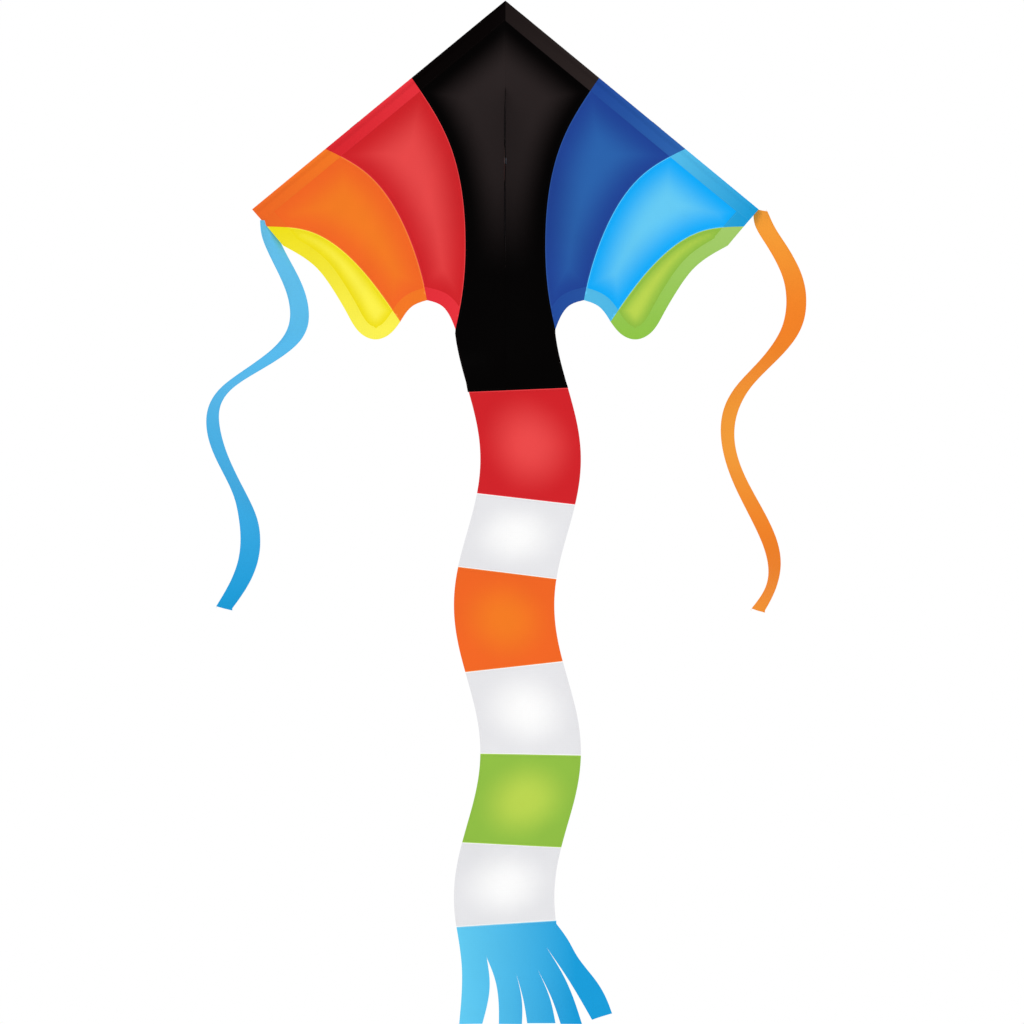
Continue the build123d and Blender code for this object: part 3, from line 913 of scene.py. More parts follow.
def rod_material():
    """A pulled glass fibre rod: fine streaks along its length under a dull skin."""
    name = "pulled_fibre_rod"
    if name in MADE:
        return MADE[name]
    material, n, shader = blank_material(name)
    where = n.add("ShaderNodeTexCoord").outputs["Object"]
    drawn = n.add("ShaderNodeVectorMath", {0: where, 1: (60, 900, 900)}, operation="MULTIPLY")
    streaks = n.noise(drawn.outputs[0], 1.0, 3.0, 0.6)
    dark, pale = (0.006, 0.006, 0.007, 1), (0.035, 0.034, 0.036, 1)
    n.put(shader.inputs["Base Color"], n.mix(streaks, dark, pale))
    n.put(shader.inputs["Roughness"], n.span(streaks, 0.2, 0.8, 0.3, 0.5))
    bump = n.add("ShaderNodeBump", {"Height": streaks, "Strength": 0.2, "Distance": 0.0001})
    n.put(shader.inputs["Normal"], bump.outputs["Normal"])
    MADE[name] = material
    return material


# ---------------------------------------------------------------- the wings


def half_layers():
    """Half the thickness of one layer and of a doubled hem, in metres."""
    single = bpy.context.scene.kite_sizes.cloth
    return single, 2 * single


def wing_borders(panel, side):
    """The borders of one panel of a wing, on the right wing's side of the plan."""
    tip = (HALF_SPAN, TIP_DROP)
    inner, outer, corner = spline(SEAM_INNER), spline(SEAM_OUTER), spline(SEAM_CORNER)
    if panel == "inner":
        return [
            border(inner, "seam"), border(straight(SEAM_INNER[0], SEAM_OUTER[0]), "sleeve"),
            border(outer, "seam"), border(spline(ARCH_INNER), "hem", EDGE_HEM),
        ]
    if panel == "outer":
        return [
            border(outer, "seam"), border(straight(SEAM_OUTER[0], tip), "sleeve"),
            border(straight(tip, SEAM_CORNER[0]), "tip", HEM), border(corner, "seam"),
            border(spline(ARCH_OUTER), "hem", EDGE_HEM),
        ]
    if panel == "corner":
        return [
            border(corner, "seam"), border(straight(SEAM_CORNER[0], TIP_CORNER), "tip", HEM),
            border(spline(LOBE), "hem", EDGE_HEM),
        ]
    return black_borders(inner, side)


def black_borders(inner, side):
    """The borders of one half of the black centre, down to the tail's first seam."""
    drops = np.arange(TAIL_TOP + 8, 880, 8.0)
    edge = TAIL_WIDTH / 2 + side * tail_middle(drops)
    corner = TAIL_WIDTH / 2 + side * tail_middle(892)
    corner = (corner, float(seam_drop("tail_red", side * corner)))
    side_line = np.vstack([inner[-1], np.column_stack([edge, drops]), corner])
    foot = (0.0, float(seam_drop("tail_red", 0.0)))
    return [
        border(straight((0, 0), SEAM_INNER[0]), "sleeve"), border(inner, "seam"),
        border(side_line, "side", SIDE_HEM), border(straight(corner, foot), "seam"),
        border(straight(foot, (0, 0)), "centre", flat=SLEEVE_FLAT),
    ]


def from_edge(points):
    """How far points of the plan lie inside the leading edge."""
    return points @ EDGE_IN


def depth_in(points, borders):
    """How far points lie inside the hems and seams of a panel."""
    best = np.full(len(points), 1e9)
    for own in borders:
        if own["kind"] == "sleeve":
            away = from_edge(points) - HEM
        else:
            away = distance(points, own["line"]) - own["width"] - own["flat"]
        best = np.minimum(best, away)
    return np.maximum(best, 0)


def panel_surface(borders, side, deepest):
    """The surface of one panel: the billow, its folds and the fill between its seams."""
    fill = bpy.context.scene.kite_sizes.pillow / MM

    def surface(plan):
        across, drop = plan[:, 0], plan[:, 1]
        tail = smooth(drop, *TAIL_FLAT)
        inwards = np.clip(depth_in(plan, borders) / deepest, 0, 1)
        pillow = fill * (1 - (1 - inwards) ** 2)
        wing = billow(np.maximum(across, 0), drop) + ripple(across, drop) + pillow
        return place(across, wing * (1 - tail) + tail_wave(drop) * tail, drop, side)

    return surface


def near_lines(points, lines, width):
    """Which points lie nearer than a width to any of the lines."""
    return np.any([distance(points, line) < width for line in lines], axis=0)


def rows_of(borders, ring, offsets):
    """The rows of points that run beside the borders, from offsets for each kind of border."""
    rows = []
    for kind, distances in offsets.items():
        for offset in distances:
            rows += rows_beside(borders, ring, kind, offset)
    return rows


def panel_plan(borders, ring, panel):
    """The points and faces of a panel, with rows along its hems and seams."""
    rows = rows_of(borders, ring, {
        "seam": SEAM_ROWS, "hem": (EDGE_HEM, EDGE_HEM + 1), "tip": (HEM, HEM + 1),
        "side": (SIDE_HEM, SIDE_HEM + 1)})
    grain = bpy.context.scene.kite_sizes.grain / MM
    if panel == "corner":
        return triangulate(ring, rows, grain)
    lap = HEM - SLEEVE_LAP
    reach = math.hypot(HALF_SPAN, TIP_DROP)
    before_nose = 30
    rows.append(straight(EDGE_IN * lap - EDGE_WAY * before_nose, EDGE_IN * lap + EDGE_WAY * reach))
    return triangulate(ring, rows, grain, lambda at: from_edge(at) > lap)


def painted_panel_glow(plan, borders, panel):
    """How far each point takes the colour of the panel's middle: a painted glow that lights the middle
    of the panel.
    """
    if panel == "black":
        outer = [own for own in borders if own["kind"] != "centre"]
        return smooth(depth_in(plan, outer), *BLACK_PAINTED_GLOW) * (1 - smooth(plan[:, 1], *BLACK_FADE))
    depth = depth_in(plan, borders)
    return smooth(depth, 0, depth.max() * 0.9)


def panel_threads(name, borders, ring, surface, lift, cloth):
    """The rows of stitches along the seams and hems of a panel."""
    rows = rows_of(borders, ring, {
        "seam": (SEAM_STITCH,), "hem": (EDGE_HEM - HEM_STITCH, HEM_STITCH),
        "tip": (HEM - HEM_STITCH, HEM_STITCH), "side": (SIDE_STITCH,)})
    rows = [clip_row(row, ring) for row in rows]
    return stitching(name, surface, [row for row in rows if len(row) > 3], lift, cloth)


def build_panel(wing, panel):
    """One sail panel with its hems and seams, and its stitching."""
    side = WINGS[wing]["side"]
    cloth = WINGS[wing].get(panel, "black")
    borders = wing_borders(panel, side)
    ring = ring_of(borders)
    plan, faces = panel_plan(borders, ring, panel)
    surface = panel_surface(borders, side, depth_in(plan, borders).max())
    seams = [own["line"] for own in borders if own["kind"] == "seam"]
    hems = [own for own in borders if own["width"]]
    single, double = half_layers()

    def in_hem(points):
        return np.any([near_lines(points, [longer(hem["line"])], hem["width"] + 0.1) for hem in hems],
                      axis=0)

    folded = in_hem(plan) | near_lines(plan, seams, SEAM_FOLD + 0.1)
    thick = np.where(folded & (from_edge(plan) > HEM), double, single)
    centres = plan[np.array(faces)].mean(1)
    run = plan[:, 1] if panel == "corner" else plan[:, 0]
    run = (run - run.min()) / max(np.ptp(run), 1) * (panel != "black")
    node = f"sail_black_{wing}" if panel == "black" else f"sail_{cloth}"
    sail = cloth_mesh(
        node + "_cloth", surface(plan), faces, thick, plan=plan * (side, 1),
        values={"glow": painted_panel_glow(plan, borders, panel), "hem_run": run},
        marks={"hem": in_hem(centres), "seam_line": near_lines(centres, seams, SEAM_LINE)})
    dress(sail, cloth_material(cloth))
    threads = panel_threads(
        node.replace("sail", "stitching"), borders, ring, surface, double / MM, cloth)
    sum_area(plan, faces)
    return sail, threads


def clip_row(row, ring):
    """The part of a row of stitches that lies on the cloth."""
    at = along(row, 1.5)
    beside_sleeve = (from_edge(at) > HEM) | (at[:, 1] > TIP_CORNER[1])
    return at[inside(at, ring) & (distance(at, closed_ring(ring)) > 2.0) & beside_sleeve]


def sum_area(plan, faces):
    """The area of the plan's faces, in square metres."""
    total = 0.0
    for face in faces:
        points = plan[list(face)]
        rolled = np.roll(points, -1, axis=0)
        total += abs(np.sum(points[:, 0] * rolled[:, 1] - rolled[:, 0] * points[:, 1])) / 2
    return total * MM * MM


# how far inside the leading edge the rows of a sleeve's points lie, closest over the spar
SLEEVE_OFFSETS = (0, 0.3, 0.8, 1.5, 2.5, 3.7, 5, 6.4, 7.8, 9.2, 10.6, 12, 13.5, 15, 16.5,
                  18, 24, 30, 33.6, 34.8, HEM)


def spar_bulge(run, inset):
    """How far a sleeve stands off over the spar, at places along and inside the leading edge."""
    casing = smooth(run, SPAR_START - 26, SPAR_START - 6) * (1 - smooth(run, SPAR_END, SPAR_END + 6))
    rounded = np.sqrt(np.clip(1 - ((SPAR_INSET - inset) / 5.6) ** 2, 0, 1))
    falling = 1 - smooth(inset, SPAR_INSET, 17)
    return SPAR_BULGE * casing * np.where(inset < SPAR_INSET, rounded, falling)


def build_sleeve(wing, panel):
    """The leading edge sleeve along one panel, bulging over the spar inside it."""
    side = WINGS[wing]["side"]
    cloth = WINGS[wing].get(panel, "black")
    ends = {
        "black": (np.array(((0, 0), (0, 80.0))), spline(SEAM_INNER)),
        "inner": (spline(SEAM_INNER), spline(SEAM_OUTER)),
        "outer": (spline(SEAM_OUTER), np.array(((HALF_SPAN, TIP_DROP), SEAM_CORNER[0]))),
    }[panel]
    offsets = np.array(SLEEVE_OFFSETS)
    limits = [np.interp(offsets, from_edge(line), line @ EDGE_WAY) for line in ends]
    length = (limits[1] - limits[0]).mean()
    shares = np.linspace(0, 1, round(length / 5) + 1)
    reach = limits[0][:, None] + (limits[1] - limits[0])[:, None] * shares
    inset = np.repeat(offsets, len(shares))
    plan = reach.reshape(-1, 1) * EDGE_WAY + inset[:, None] * EDGE_IN
    faces = grid_faces(len(offsets), len(shares))
    run = reach.ravel() * EDGE_STRETCH

    def surface(at):
        back = billow(np.maximum(at[:, 0], 0), at[:, 1]) + ripple(at[:, 0], at[:, 1])
        return place(at[:, 0], back, at[:, 1], side)

    single, double = half_layers()
    thick = np.where(inset < 0.2, single, double) + spar_bulge(run, inset) * MM
    window = (np.abs(run - HOOK_ALONG) < HOOK_WINDOW) & (inset < 10.5)
    node = f"edge_sleeve_{cloth}_{wing}" if panel == "black" else f"edge_sleeve_{cloth}"
    tone = (run - run.min()) / np.ptp(run)
    if panel == "black":
        tone = (0.45 + 0.55 * tone) * (wing == "right")
    sleeve = cloth_mesh(
        node + "_cloth", surface(plan), faces, thick, back=np.where(window, single, thick),
        plan=plan * (side, 1), sharp=38, values={"glow": 0 * run, "hem_run": tone},
        marks=plain_marks(faces, 1.0))
    dress(sleeve, cloth_material(cloth))
    near = np.argmin(np.abs(offsets - SLEEVE_STITCH))
    stitched = EDGE_IN * SLEEVE_STITCH
    row = straight(EDGE_WAY * (limits[0][near] + HEM_STITCH) + stitched,
                   EDGE_WAY * (limits[1][near] - HEM_STITCH) + stitched)
    threads = stitching("stitching_" + node, surface, [row], double / MM, cloth)
    for thing in (sleeve, threads):
        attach(thing, f"wing_{wing}")
    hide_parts(node)
    sum_area(plan, faces) / (HEM * MM)


# ---------------------------------------------------------------- the tail


def band_plan(band, after):
    """Rows and columns of one band of the tail, with its seams and side hems."""
    grain = bpy.context.scene.kite_sizes.grain / MM
    across = graded(TAIL_WIDTH, BAND_ROWS, grain) - TAIL_WIDTH / 2
    shares = None
    columns = []
    for offset in across:
        ends = []
        for name in (band, after):
            drop = BANDS[name][0]
            for _ in range(4):
                drop = float(seam_drop(name, tail_middle(drop) + offset))
            ends.append(drop)
        length = ends[1] - ends[0]
        if shares is None:
            shares = graded(length, (0, *SEAM_ROWS), grain) / length
        drops = ends[0] + shares * length
        columns.append(np.column_stack([tail_middle(drops) + offset, drops]))
    plan = np.stack(columns, axis=1).reshape(-1, 2)
    return plan, across, shares


def tail_surface(band, after):
    """The surface of one band: the tail's waves, flutter at its sides and its own fill."""
    fill = bpy.context.scene.kite_sizes.pillow / MM

    def surface(plan):
        across, drop = plan[:, 0], plan[:, 1]
        off = (across - tail_middle(drop)) / (TAIL_WIDTH / 2)
        top = drop - seam_drop(band, across)
        bottom = seam_drop(after, across) - drop if after else 400 + 0 * drop
        length = np.maximum(top + bottom, 1)
        share = np.clip(top / length, 0, 1)
        pillow = 1.2 * fill * np.sin(math.pi * share) ** 0.7 * (1 - np.clip(np.abs(off), 0, 1) ** 2.5)
        if after is None:
            pillow = pillow * 0.3
        free = smooth(drop, *TAIL_FREE)
        flutter = TAIL_FLUTTER * off ** 3 * np.sin(2 * math.pi * drop / TAIL_FLUTTER_LENGTH) * free
        cross = TAIL_CROSS * np.sin(3 * math.pi * off + drop / 60) * (1 - off ** 2) * free
        return place(across, tail_wave(drop) + pillow + flutter + cross, drop)

    return surface


def build_band(band, after, parent):
    """One band of the tail, joined to the band above it."""
    plan, across, shares = band_plan(band, after)
    surface = tail_surface(band, after)
    rows, columns = len(shares), len(across)
    faces = grid_faces(rows, columns)
    single, double = half_layers()
    side = np.tile(np.minimum(across - across[0], across[-1] - across), rows)
    length = plan[-1, 1] - plan[0, 1]
    end = np.repeat(np.minimum(shares, 1 - shares) * length, columns)
    folded = (side < BAND_HEM + 0.1) | (end < SEAM_FOLD + 0.2)
    up = np.repeat(2 * shares - 1, columns)
    off = np.tile(across / (TAIL_WIDTH / 2), rows)
    # painted highlight: the band is lighter round its middle and darker towards its seams and sides
    glow = 1 - smooth(np.hypot(off, up), 0.1, 1.02)
    by_seam = end[np.array(faces)].mean(1) < SEAM_LINE
    piece = cloth_mesh(
        band + "_cloth", surface(plan), faces, np.where(folded, double, single), plan=plan,
        values={"glow": glow, "hem_run": 0.5 + 0.5 * off},
        marks={"hem": np.zeros(len(faces)), "seam_line": by_seam})
    finish_band(piece, band, parent, surface, plan, faces, after)


def finish_band(piece, band, parent, surface, plan, faces, after):
    """Material and stitching of one band of the tail, with its pieces baked in place."""
    cloth = BANDS[band][2]
    _, double = half_layers()
    dress(piece, cloth_material(cloth))
    drops = np.arange(BANDS[band][0] - 6, (BANDS[after][0] if after else FRINGE_HINGE) + 6, 4.0)
    rows = []
    for edge in (-1, 1):
        x = tail_middle(drops) + edge * (TAIL_WIDTH / 2 - BAND_STITCH)
        top = drops > seam_drop(band, x) + 4
        low = drops < (seam_drop(after, x) - 4 if after else SLITS[-1][0][1] - SLIT_MARGIN)
        rows.append(np.column_stack([x, drops])[top & low])
    seam_ends = [(band, SEAM_STITCH)] + ([(after, -SEAM_STITCH)] if after else [])
    for name, shift in seam_ends:
        middle = tail_middle(BANDS[name][0])
        x = middle + np.linspace(-1, 1, 40) * (TAIL_WIDTH / 2 - 6)
        rows.append(np.column_stack([x, seam_drop(name, x) + shift]))
    threads = stitching("stitching_" + band, surface, rows, double / MM, cloth)
    join(band, parent, band, [piece, threads])
    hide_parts(band)
    length = np.ptp(plan[:, 1]) * MM
    area = sum_area(plan, faces)


def join(band, parent, body, things):
    """Bakes each piece's placing into its mesh."""
    for thing in things:
        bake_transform(thing)


# ---------------------------------------------------------------- the fringe


def slit_side(head, top, lip):
    """One side of a slit: a straight line down to its top, then the lip."""
    def at(drop):
        above = np.interp(drop, (head[1], top[1]), (head[0], top[0]))
        return np.where(drop < top[1], above, lip(drop))

    return at


def fringe_edges():
    """For each strip, the functions that give its left and right side at a drop."""
    start = BANDS["tail_blue"][0]
    left = column_at([(tail_middle(start) - TAIL_WIDTH / 2, start)] + list(FRINGE_LEFT[1:]))
    right = column_at([(tail_middle(start) + TAIL_WIDTH / 2, start)] + list(FRINGE_RIGHT))
    pairs = []
    before = left
    width = TAIL_WIDTH / (len(SLITS) + 1)
    for i, (top, left_lip, right_lip) in enumerate(SLITS, start=1):
        head = (tail_middle(start) - TAIL_WIDTH / 2 + i * width, start - 12)
        sides = [column_at([top] + list(lip)) for lip in (left_lip, right_lip)]
        slit = [slit_side(head, top, lip) for lip in sides]
        pairs.append((before, slit[0]))
        before = slit[1]
    pairs.append((before, right))
    return pairs


def fringe_ends():
    """The drops of the two lower corners of each strip."""
    ends = [FRINGE_LEFT[-1][1]]
    for _, left_lip, right_lip in SLITS:
        ends += [left_lip[-1][1], right_lip[-1][1]]
    ends.append(FRINGE_RIGHT[-1][1])
    return list(zip(ends[::2], ends[1::2]))


STRIP_CURLS = (-1, 1, -0.6, 0.8, -1)    # each strip's curl, to the back where above 0
STRIP_LIFT = 7                          # how far a full curl lifts the end of a strip,
STRIP_LEAN = 5                          # how much its sides lean
STRIP_CUP = 3                           # and how deep it is cupped


def fringe_surface(number, edges):
    """The surface of one strip: it leaves the tail's wave and curls a little."""
    base = tail_surface("tail_blue", None)
    way = STRIP_CURLS[number]

    def surface(plan):
        made = base(plan)
        left, right = edges[0](plan[:, 1]), edges[1](plan[:, 1])
        off = (plan[:, 0] - left) / np.maximum(right - left, 1) - 0.5
        below = smooth(plan[:, 1], FRINGE_HINGE - 8, 2360)
        made[:, 1] += (way * (STRIP_LIFT - STRIP_LEAN * off) - STRIP_CUP * off ** 2) * below * MM
        return made

    return surface


def fringe_tone(plan):
    """Light blue on the left, deeper blue on the right."""
    return np.clip((plan[:, 0] + 108) / 270, 0, 1)


def strip_plan(edges, start, end, rows):
    """A grid of points between a strip's sides; start and end give the drop at each side."""
    hinge = np.array([float(FRINGE_HINGE)])
    width = (edges[1](hinge) - edges[0](hinge))[0]
    columns = max(5, round(float(width) / 7))
    across = np.linspace(0, 1, columns + 1)
    plan = []
    for share in rows:
        for u in across:
            top = start[0] + (start[1] - start[0]) * u
            low = end[0] + (end[1] - end[0]) * u
            drop = top + (low - top) * share
            sides = [float(edge(np.array([drop]))[0]) for edge in edges]
            plan.append((sides[0] + (sides[1] - sides[0]) * u, drop))
    return np.array(plan), len(across)


def build_fringe():
    """The blue end of the tail and its five strips."""
    pairs = fringe_edges()
    single, double = half_layers()
    all_points, all_faces = [], []
    used = 0
    length = FRINGE_HINGE - BANDS["tail_blue"][0]
    rows = graded(length, (0, *SEAM_ROWS), 7) / length
    top = np.array([float(BANDS["tail_blue"][0])])
    for edges in pairs:
        starts = [float(seam_drop("tail_blue", edge(top)[0])) for edge in edges]
        plan, columns = strip_plan(edges, starts, (FRINGE_HINGE, FRINGE_HINGE), rows)
        all_points.append(plan)
        all_faces += [tuple(i + used for i in f) for f in grid_faces(len(rows), columns)]
        used += len(plan)
    plan, faces = welded(np.vstack(all_points), all_faces)
    surface = tail_surface("tail_blue", None)
    below = plan[:, 1] - seam_drop("tail_blue", plan[:, 0])
    thick = np.where(below < SEAM_FOLD + 0.2, double, single)
    centres = plan[np.array(faces)].mean(1)
    line = centres[:, 1] - seam_drop("tail_blue", centres[:, 0]) < SEAM_LINE
    piece = cloth_mesh(
        "tail_blue_cloth", surface(plan), faces, thick, plan=plan,
        values={"glow": fringe_tone(plan), "hem_run": 0 * plan[:, 0]},
        marks={"hem": np.zeros(len(faces)), "seam_line": line})
    finish_band(piece, "tail_blue", "tail_white_lower", surface, plan, faces, None)
    for number, (edges, ends) in enumerate(zip(pairs, fringe_ends())):
        build_strip(number, edges, ends)


def welded(points, faces):
    """Joins points that lie on the same spot."""
    keys = {}
    place_of = []
    kept = []
    for point in np.round(points, 2):
        key = tuple(point)
        if key not in keys:
            keys[key] = len(kept)
            kept.append(key)
        place_of.append(keys[key])
    faces = [tuple(place_of[i] for i in f) for f in faces]
    return np.array(kept), [f for f in faces if len(set(f)) == len(f)]


def build_strip(number, edges, ends):
    """One strip of the fringe, which hangs from the end of the tail."""
    rows = np.linspace(0, 1, 16)
    plan, columns = strip_plan(edges, (FRINGE_HINGE, FRINGE_HINGE), ends, rows)
    faces = grid_faces(len(rows), columns)
    surface = fringe_surface(number, edges)
    single, _ = half_layers()
    name = f"tail_fringe_{number + 1}"
    piece = cloth_mesh(
        name + "_cloth", surface(plan), faces, np.full(len(plan), single), plan=plan,
        values={"glow": fringe_tone(plan), "hem_run": 0 * plan[:, 0]},
        marks=plain_marks(faces))
    dress(piece, cloth_material("tail_blue"))
    middle = plan[:columns].mean(0)
    start = place(middle[0], tail_wave(FRINGE_HINGE), FRINGE_HINGE)[0]
    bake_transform(piece)
    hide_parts(name)
    area = sum_area(plan, faces)


# ---------------------------------------------------------------- the ribbons


def ribbon_surface(side):
    """The surface of a ribbon. Its plan is (place across the strip, drop)."""
    facts = RIBBONS[side]
    middle = column_at(facts["path"])
    turn = column_at([(angle, drop) for drop, angle in facts["turn"]])
    low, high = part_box(f"ribbon_{side}_upper")
    rest = (low.y + high.y) / 2 / MM - SPINE
    sign = 1 if side == "left" else -1

    def surface(plan):
        off, drop = plan[:, 0], plan[:, 1]
        angle = np.radians(turn(drop)) * sign
        sewn = 1 - smooth(drop, *RIBBON_SEWN)
        sway = RIBBON_SWAY * np.sin(2 * math.pi * (drop - 560) / RIBBON_SWAY_LENGTH) - 1
        frill = RIBBON_FRILL * np.sin(drop / 17 + off / 9) * np.abs(off / (RIBBON_WIDTH / 2)) ** 2
        back = rest + sway * (1 - sewn) - RIBBON_AHEAD * sewn + off * np.sin(angle) + frill
        return place(middle(drop) + off * np.cos(angle), back, drop)

    return surface


def ribbon_plan(across, start, end, cut):
    """A grid of points on one length of a ribbon; cut slants its upper or its lower end."""
    rows = np.linspace(start, end, max(6, round((end - start) / 5)))
    plan = np.column_stack([np.tile(across, len(rows)), np.repeat(rows, len(across))])
    if cut == "lower":
        slant = RIBBON_LOWER_CUT * smooth(rows, end - 40, end)
        plan[:, 1] += np.repeat(slant, len(across)) * plan[:, 0] / RIBBON_WIDTH
    if cut == "upper":
        slant = RIBBON_UPPER_CUT * smooth(rows, start + 30, start)
        plan[:, 1] += np.repeat(slant, len(across)) * plan[:, 0] / RIBBON_WIDTH
    return plan, rows


def ribbon_tone(side, drop, top, length):
    """The left ribbon deepens on its way down, and the right one comes and goes."""
    if side == "left":
        return (drop - top) / length
    return 0.5 - 0.5 * np.cos(2 * math.pi * (drop - RIBBON_PALE) / RIBBON_TONE_LENGTH)


def build_ribbon(side):
    """The three lengths of one ribbon: the sewn end and the two free lengths below it."""
    cloth = "blue_ribbon" if side == "left" else "orange_ribbon"
    path = RIBBONS[side]["path"]
    bends = [(NOSE - JOINTS[f"ribbon_{side}_{name}"]["pos_m"][2] / MM) for name in ("swing", "bend")]
    drops = [path[0][1], bends[0], bends[1], path[-1][1]]
    surface = ribbon_surface(side)
    across = graded(RIBBON_WIDTH, (0, RIBBON_HEM, RIBBON_HEM + 0.8), 5) - RIBBON_WIDTH / 2
    single, double = half_layers()
    bodies = [f"wing_{side}", f"ribbon_{side}_upper", f"ribbon_{side}_lower"]
    for i, name in enumerate(("sewn_end", "upper", "lower")):
        cut = {"lower": "lower", "sewn_end": "upper" if side == "right" else None}.get(name)
        plan, rows = ribbon_plan(across, drops[i], drops[i + 1], cut)
        faces = grid_faces(len(rows), len(across))
        tone = ribbon_tone(side, plan[:, 1], drops[0], drops[-1] - drops[0])
        inset = np.minimum(across - across[0], across[-1] - across)
        hem = np.tile(inset < RIBBON_HEM + 0.1, len(rows))
        node = f"ribbon_{side}_{name}"
        piece = cloth_mesh(
            node + "_cloth", surface(plan), faces, np.where(hem, double, single), plan=plan,
            values={"glow": tone, "hem_run": tone}, marks=plain_marks(faces))
        dress(piece, cloth_material(cloth))
        stitched = RIBBON_WIDTH / 2 - RIBBON_STITCH
        edges = [np.column_stack([np.full(len(rows), x), rows]) for x in (-stitched, stitched)]
        threads = stitching("stitching_" + node, surface, edges, double / MM, cloth)
        for thing in (piece, threads):
            if i == 0:
                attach(thing, bodies[0])
                continue
            x, y, z = JOINTS[f"ribbon_{side}_{'swing' if i == 1 else 'bend'}"]["pos_m"]
            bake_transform(thing)
        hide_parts(node)
        made = surface(plan).reshape(len(rows), len(across), 3)[:, len(across) // 2]
        length = np.linalg.norm(np.diff(made, axis=0), axis=1).sum()


# ---------------------------------------------------------------- the spine and the keel


def spine_strip(name, top, bottom, closed, extra=0.0):
    """A tape with a channel for the spine rod; closed gives the end that is sewn shut."""
    half = np.array(TAPE_OFFSETS)
    across = np.r_[-half[::-1], 0, half]
    drops = np.linspace(top, bottom, max(8, round((bottom - top) / 6)))
    plan = np.column_stack([np.tile(across, len(drops)), np.repeat(drops, len(across))])
    single, double = half_layers()

    def surface(at):
        return place(at[:, 0], SLEEVE_REST + billow(np.abs(at[:, 0]), at[:, 1]), at[:, 1])

    bulge = (TAPE_BULGE + extra) * np.exp(-(plan[:, 0] / TAPE_ROUND) ** 2)
    if closed:
        near = np.abs(plan[:, 1] - (top if closed == "top" else bottom))
        bulge = bulge * smooth(near, 0, 5)
    pucker = 0.25 * np.sin(plan[:, 1] / 3.1) * np.exp(-((np.abs(plan[:, 0]) - 5) / 1.6) ** 2)
    back = (bulge + pucker) * MM + double * 0.5
    faces = grid_faces(len(drops), len(across))
    strip = cloth_mesh(
        name + "_cloth", surface(plan), faces, np.full(len(plan), single), back=back, plan=plan,
        sharp=50, values={"glow": 0 * back, "hem_run": 0 * back}, marks=plain_marks(faces))
    dress(strip, cloth_material("black"))
    rows = [straight((x, top + 3), (x, bottom - 3)) for x in (-TAPE_STITCH, TAPE_STITCH)]
    if closed:
        at = top + 4 if closed == "top" else bottom - 4
        rows.append(straight((-6, at), (6, at), 2))
    threads = stitching("stitching_" + name, surface, rows, TAPE_FACE, "black")
    for thing in (strip, threads):
        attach(thing, "spine")
    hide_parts(name)


def build_spine():
    """The spine's sleeve and its two end pockets."""
    for name, closed, extra in (
        ("spine_nose_pocket", "top", POCKET_EXTRA), ("spine_sleeve", None, 0.0),
        ("spine_tail_pocket", "bottom", POCKET_EXTRA),
    ):
        low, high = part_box(name)
        spine_strip(name, NOSE - high.z / MM, NOSE - low.z / MM, closed, extra)


def keel_surface(plan):
    """The keel stands out from the spine and bows a little. Its plan is (forward, height)."""
    forward, height = plan[:, 0], plan[:, 1]
    share = np.clip(forward / SPINE, 0, 1)
    free = np.sin(math.pi * share) * smooth(SPINE - forward, 4, 70)
    bow = -KEEL_BOW * free * np.cos(height / 260)
    crease = 0.5 * np.sin(np.arctan2(height, np.maximum(forward, 1)) * 22) * free
    return np.column_stack([bow + crease, forward, height]) * MM


def build_keel():
    """The keel fin, the patch on its tip and the eyelet."""
    low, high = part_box("keel_fin")
    single, double = half_layers()
    root, cut = high.y / MM, low.y / MM
    top, bottom = high.z / MM, low.z / MM
    corners = [(root, top), (cut, top * cut / root), (cut, bottom * cut / root), (root, bottom)]
    lines = [straight(corners[i], corners[(i + 1) % 4]) for i in range(4)]
    borders = [border(lines[0], "hem", KEEL_HEM), border(lines[1], "open"),
               border(lines[2], "hem", KEEL_HEM), border(lines[3], "root")]
    ring = ring_of(borders)
    plan, faces = triangulate(ring, rows_of(borders, ring, {"hem": (KEEL_HEM, KEEL_HEM + 1)}), 9)
    hems = [longer(own["line"]) for own in borders if own["width"]]

    def in_hem(at):
        return near_lines(at, hems, KEEL_HEM + 0.1) & (at[:, 0] < root - 6)

    centres = plan[np.array(faces)].mean(1)
    fin = cloth_mesh(
        "keel_fin_cloth", keel_surface(plan), faces, np.where(in_hem(plan), double, single), plan=plan,
        values={"glow": 0 * plan[:, 0], "hem_run": 0 * plan[:, 0] + 1},
        marks={"hem": in_hem(centres), "seam_line": np.zeros(len(faces))})
    dress(fin, cloth_material("black"))
    thread_rows = []
    for row in rows_of(borders, ring, {"hem": (KEEL_STITCH,), "root": (KEEL_HEM,)}):
        at = along(row, 2)
        thread_rows.append(at[inside(at, ring) & (distance(at, closed_ring(ring)) > 3)])
    threads = stitching("stitching_keel_fin", keel_surface, thread_rows, double / MM, "black")
    patch, patch_threads = build_patch(root, top, bottom)
    eyelet = build_eyelet()
    for thing in (fin, threads, patch, patch_threads, eyelet):
        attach(thing, "keel")
    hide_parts("keel_fin")
    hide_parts("keel_patch")
    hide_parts("tow_eyelet")
    size = np.ptp(plan, axis=0) * MM
    sum_area(plan, faces)


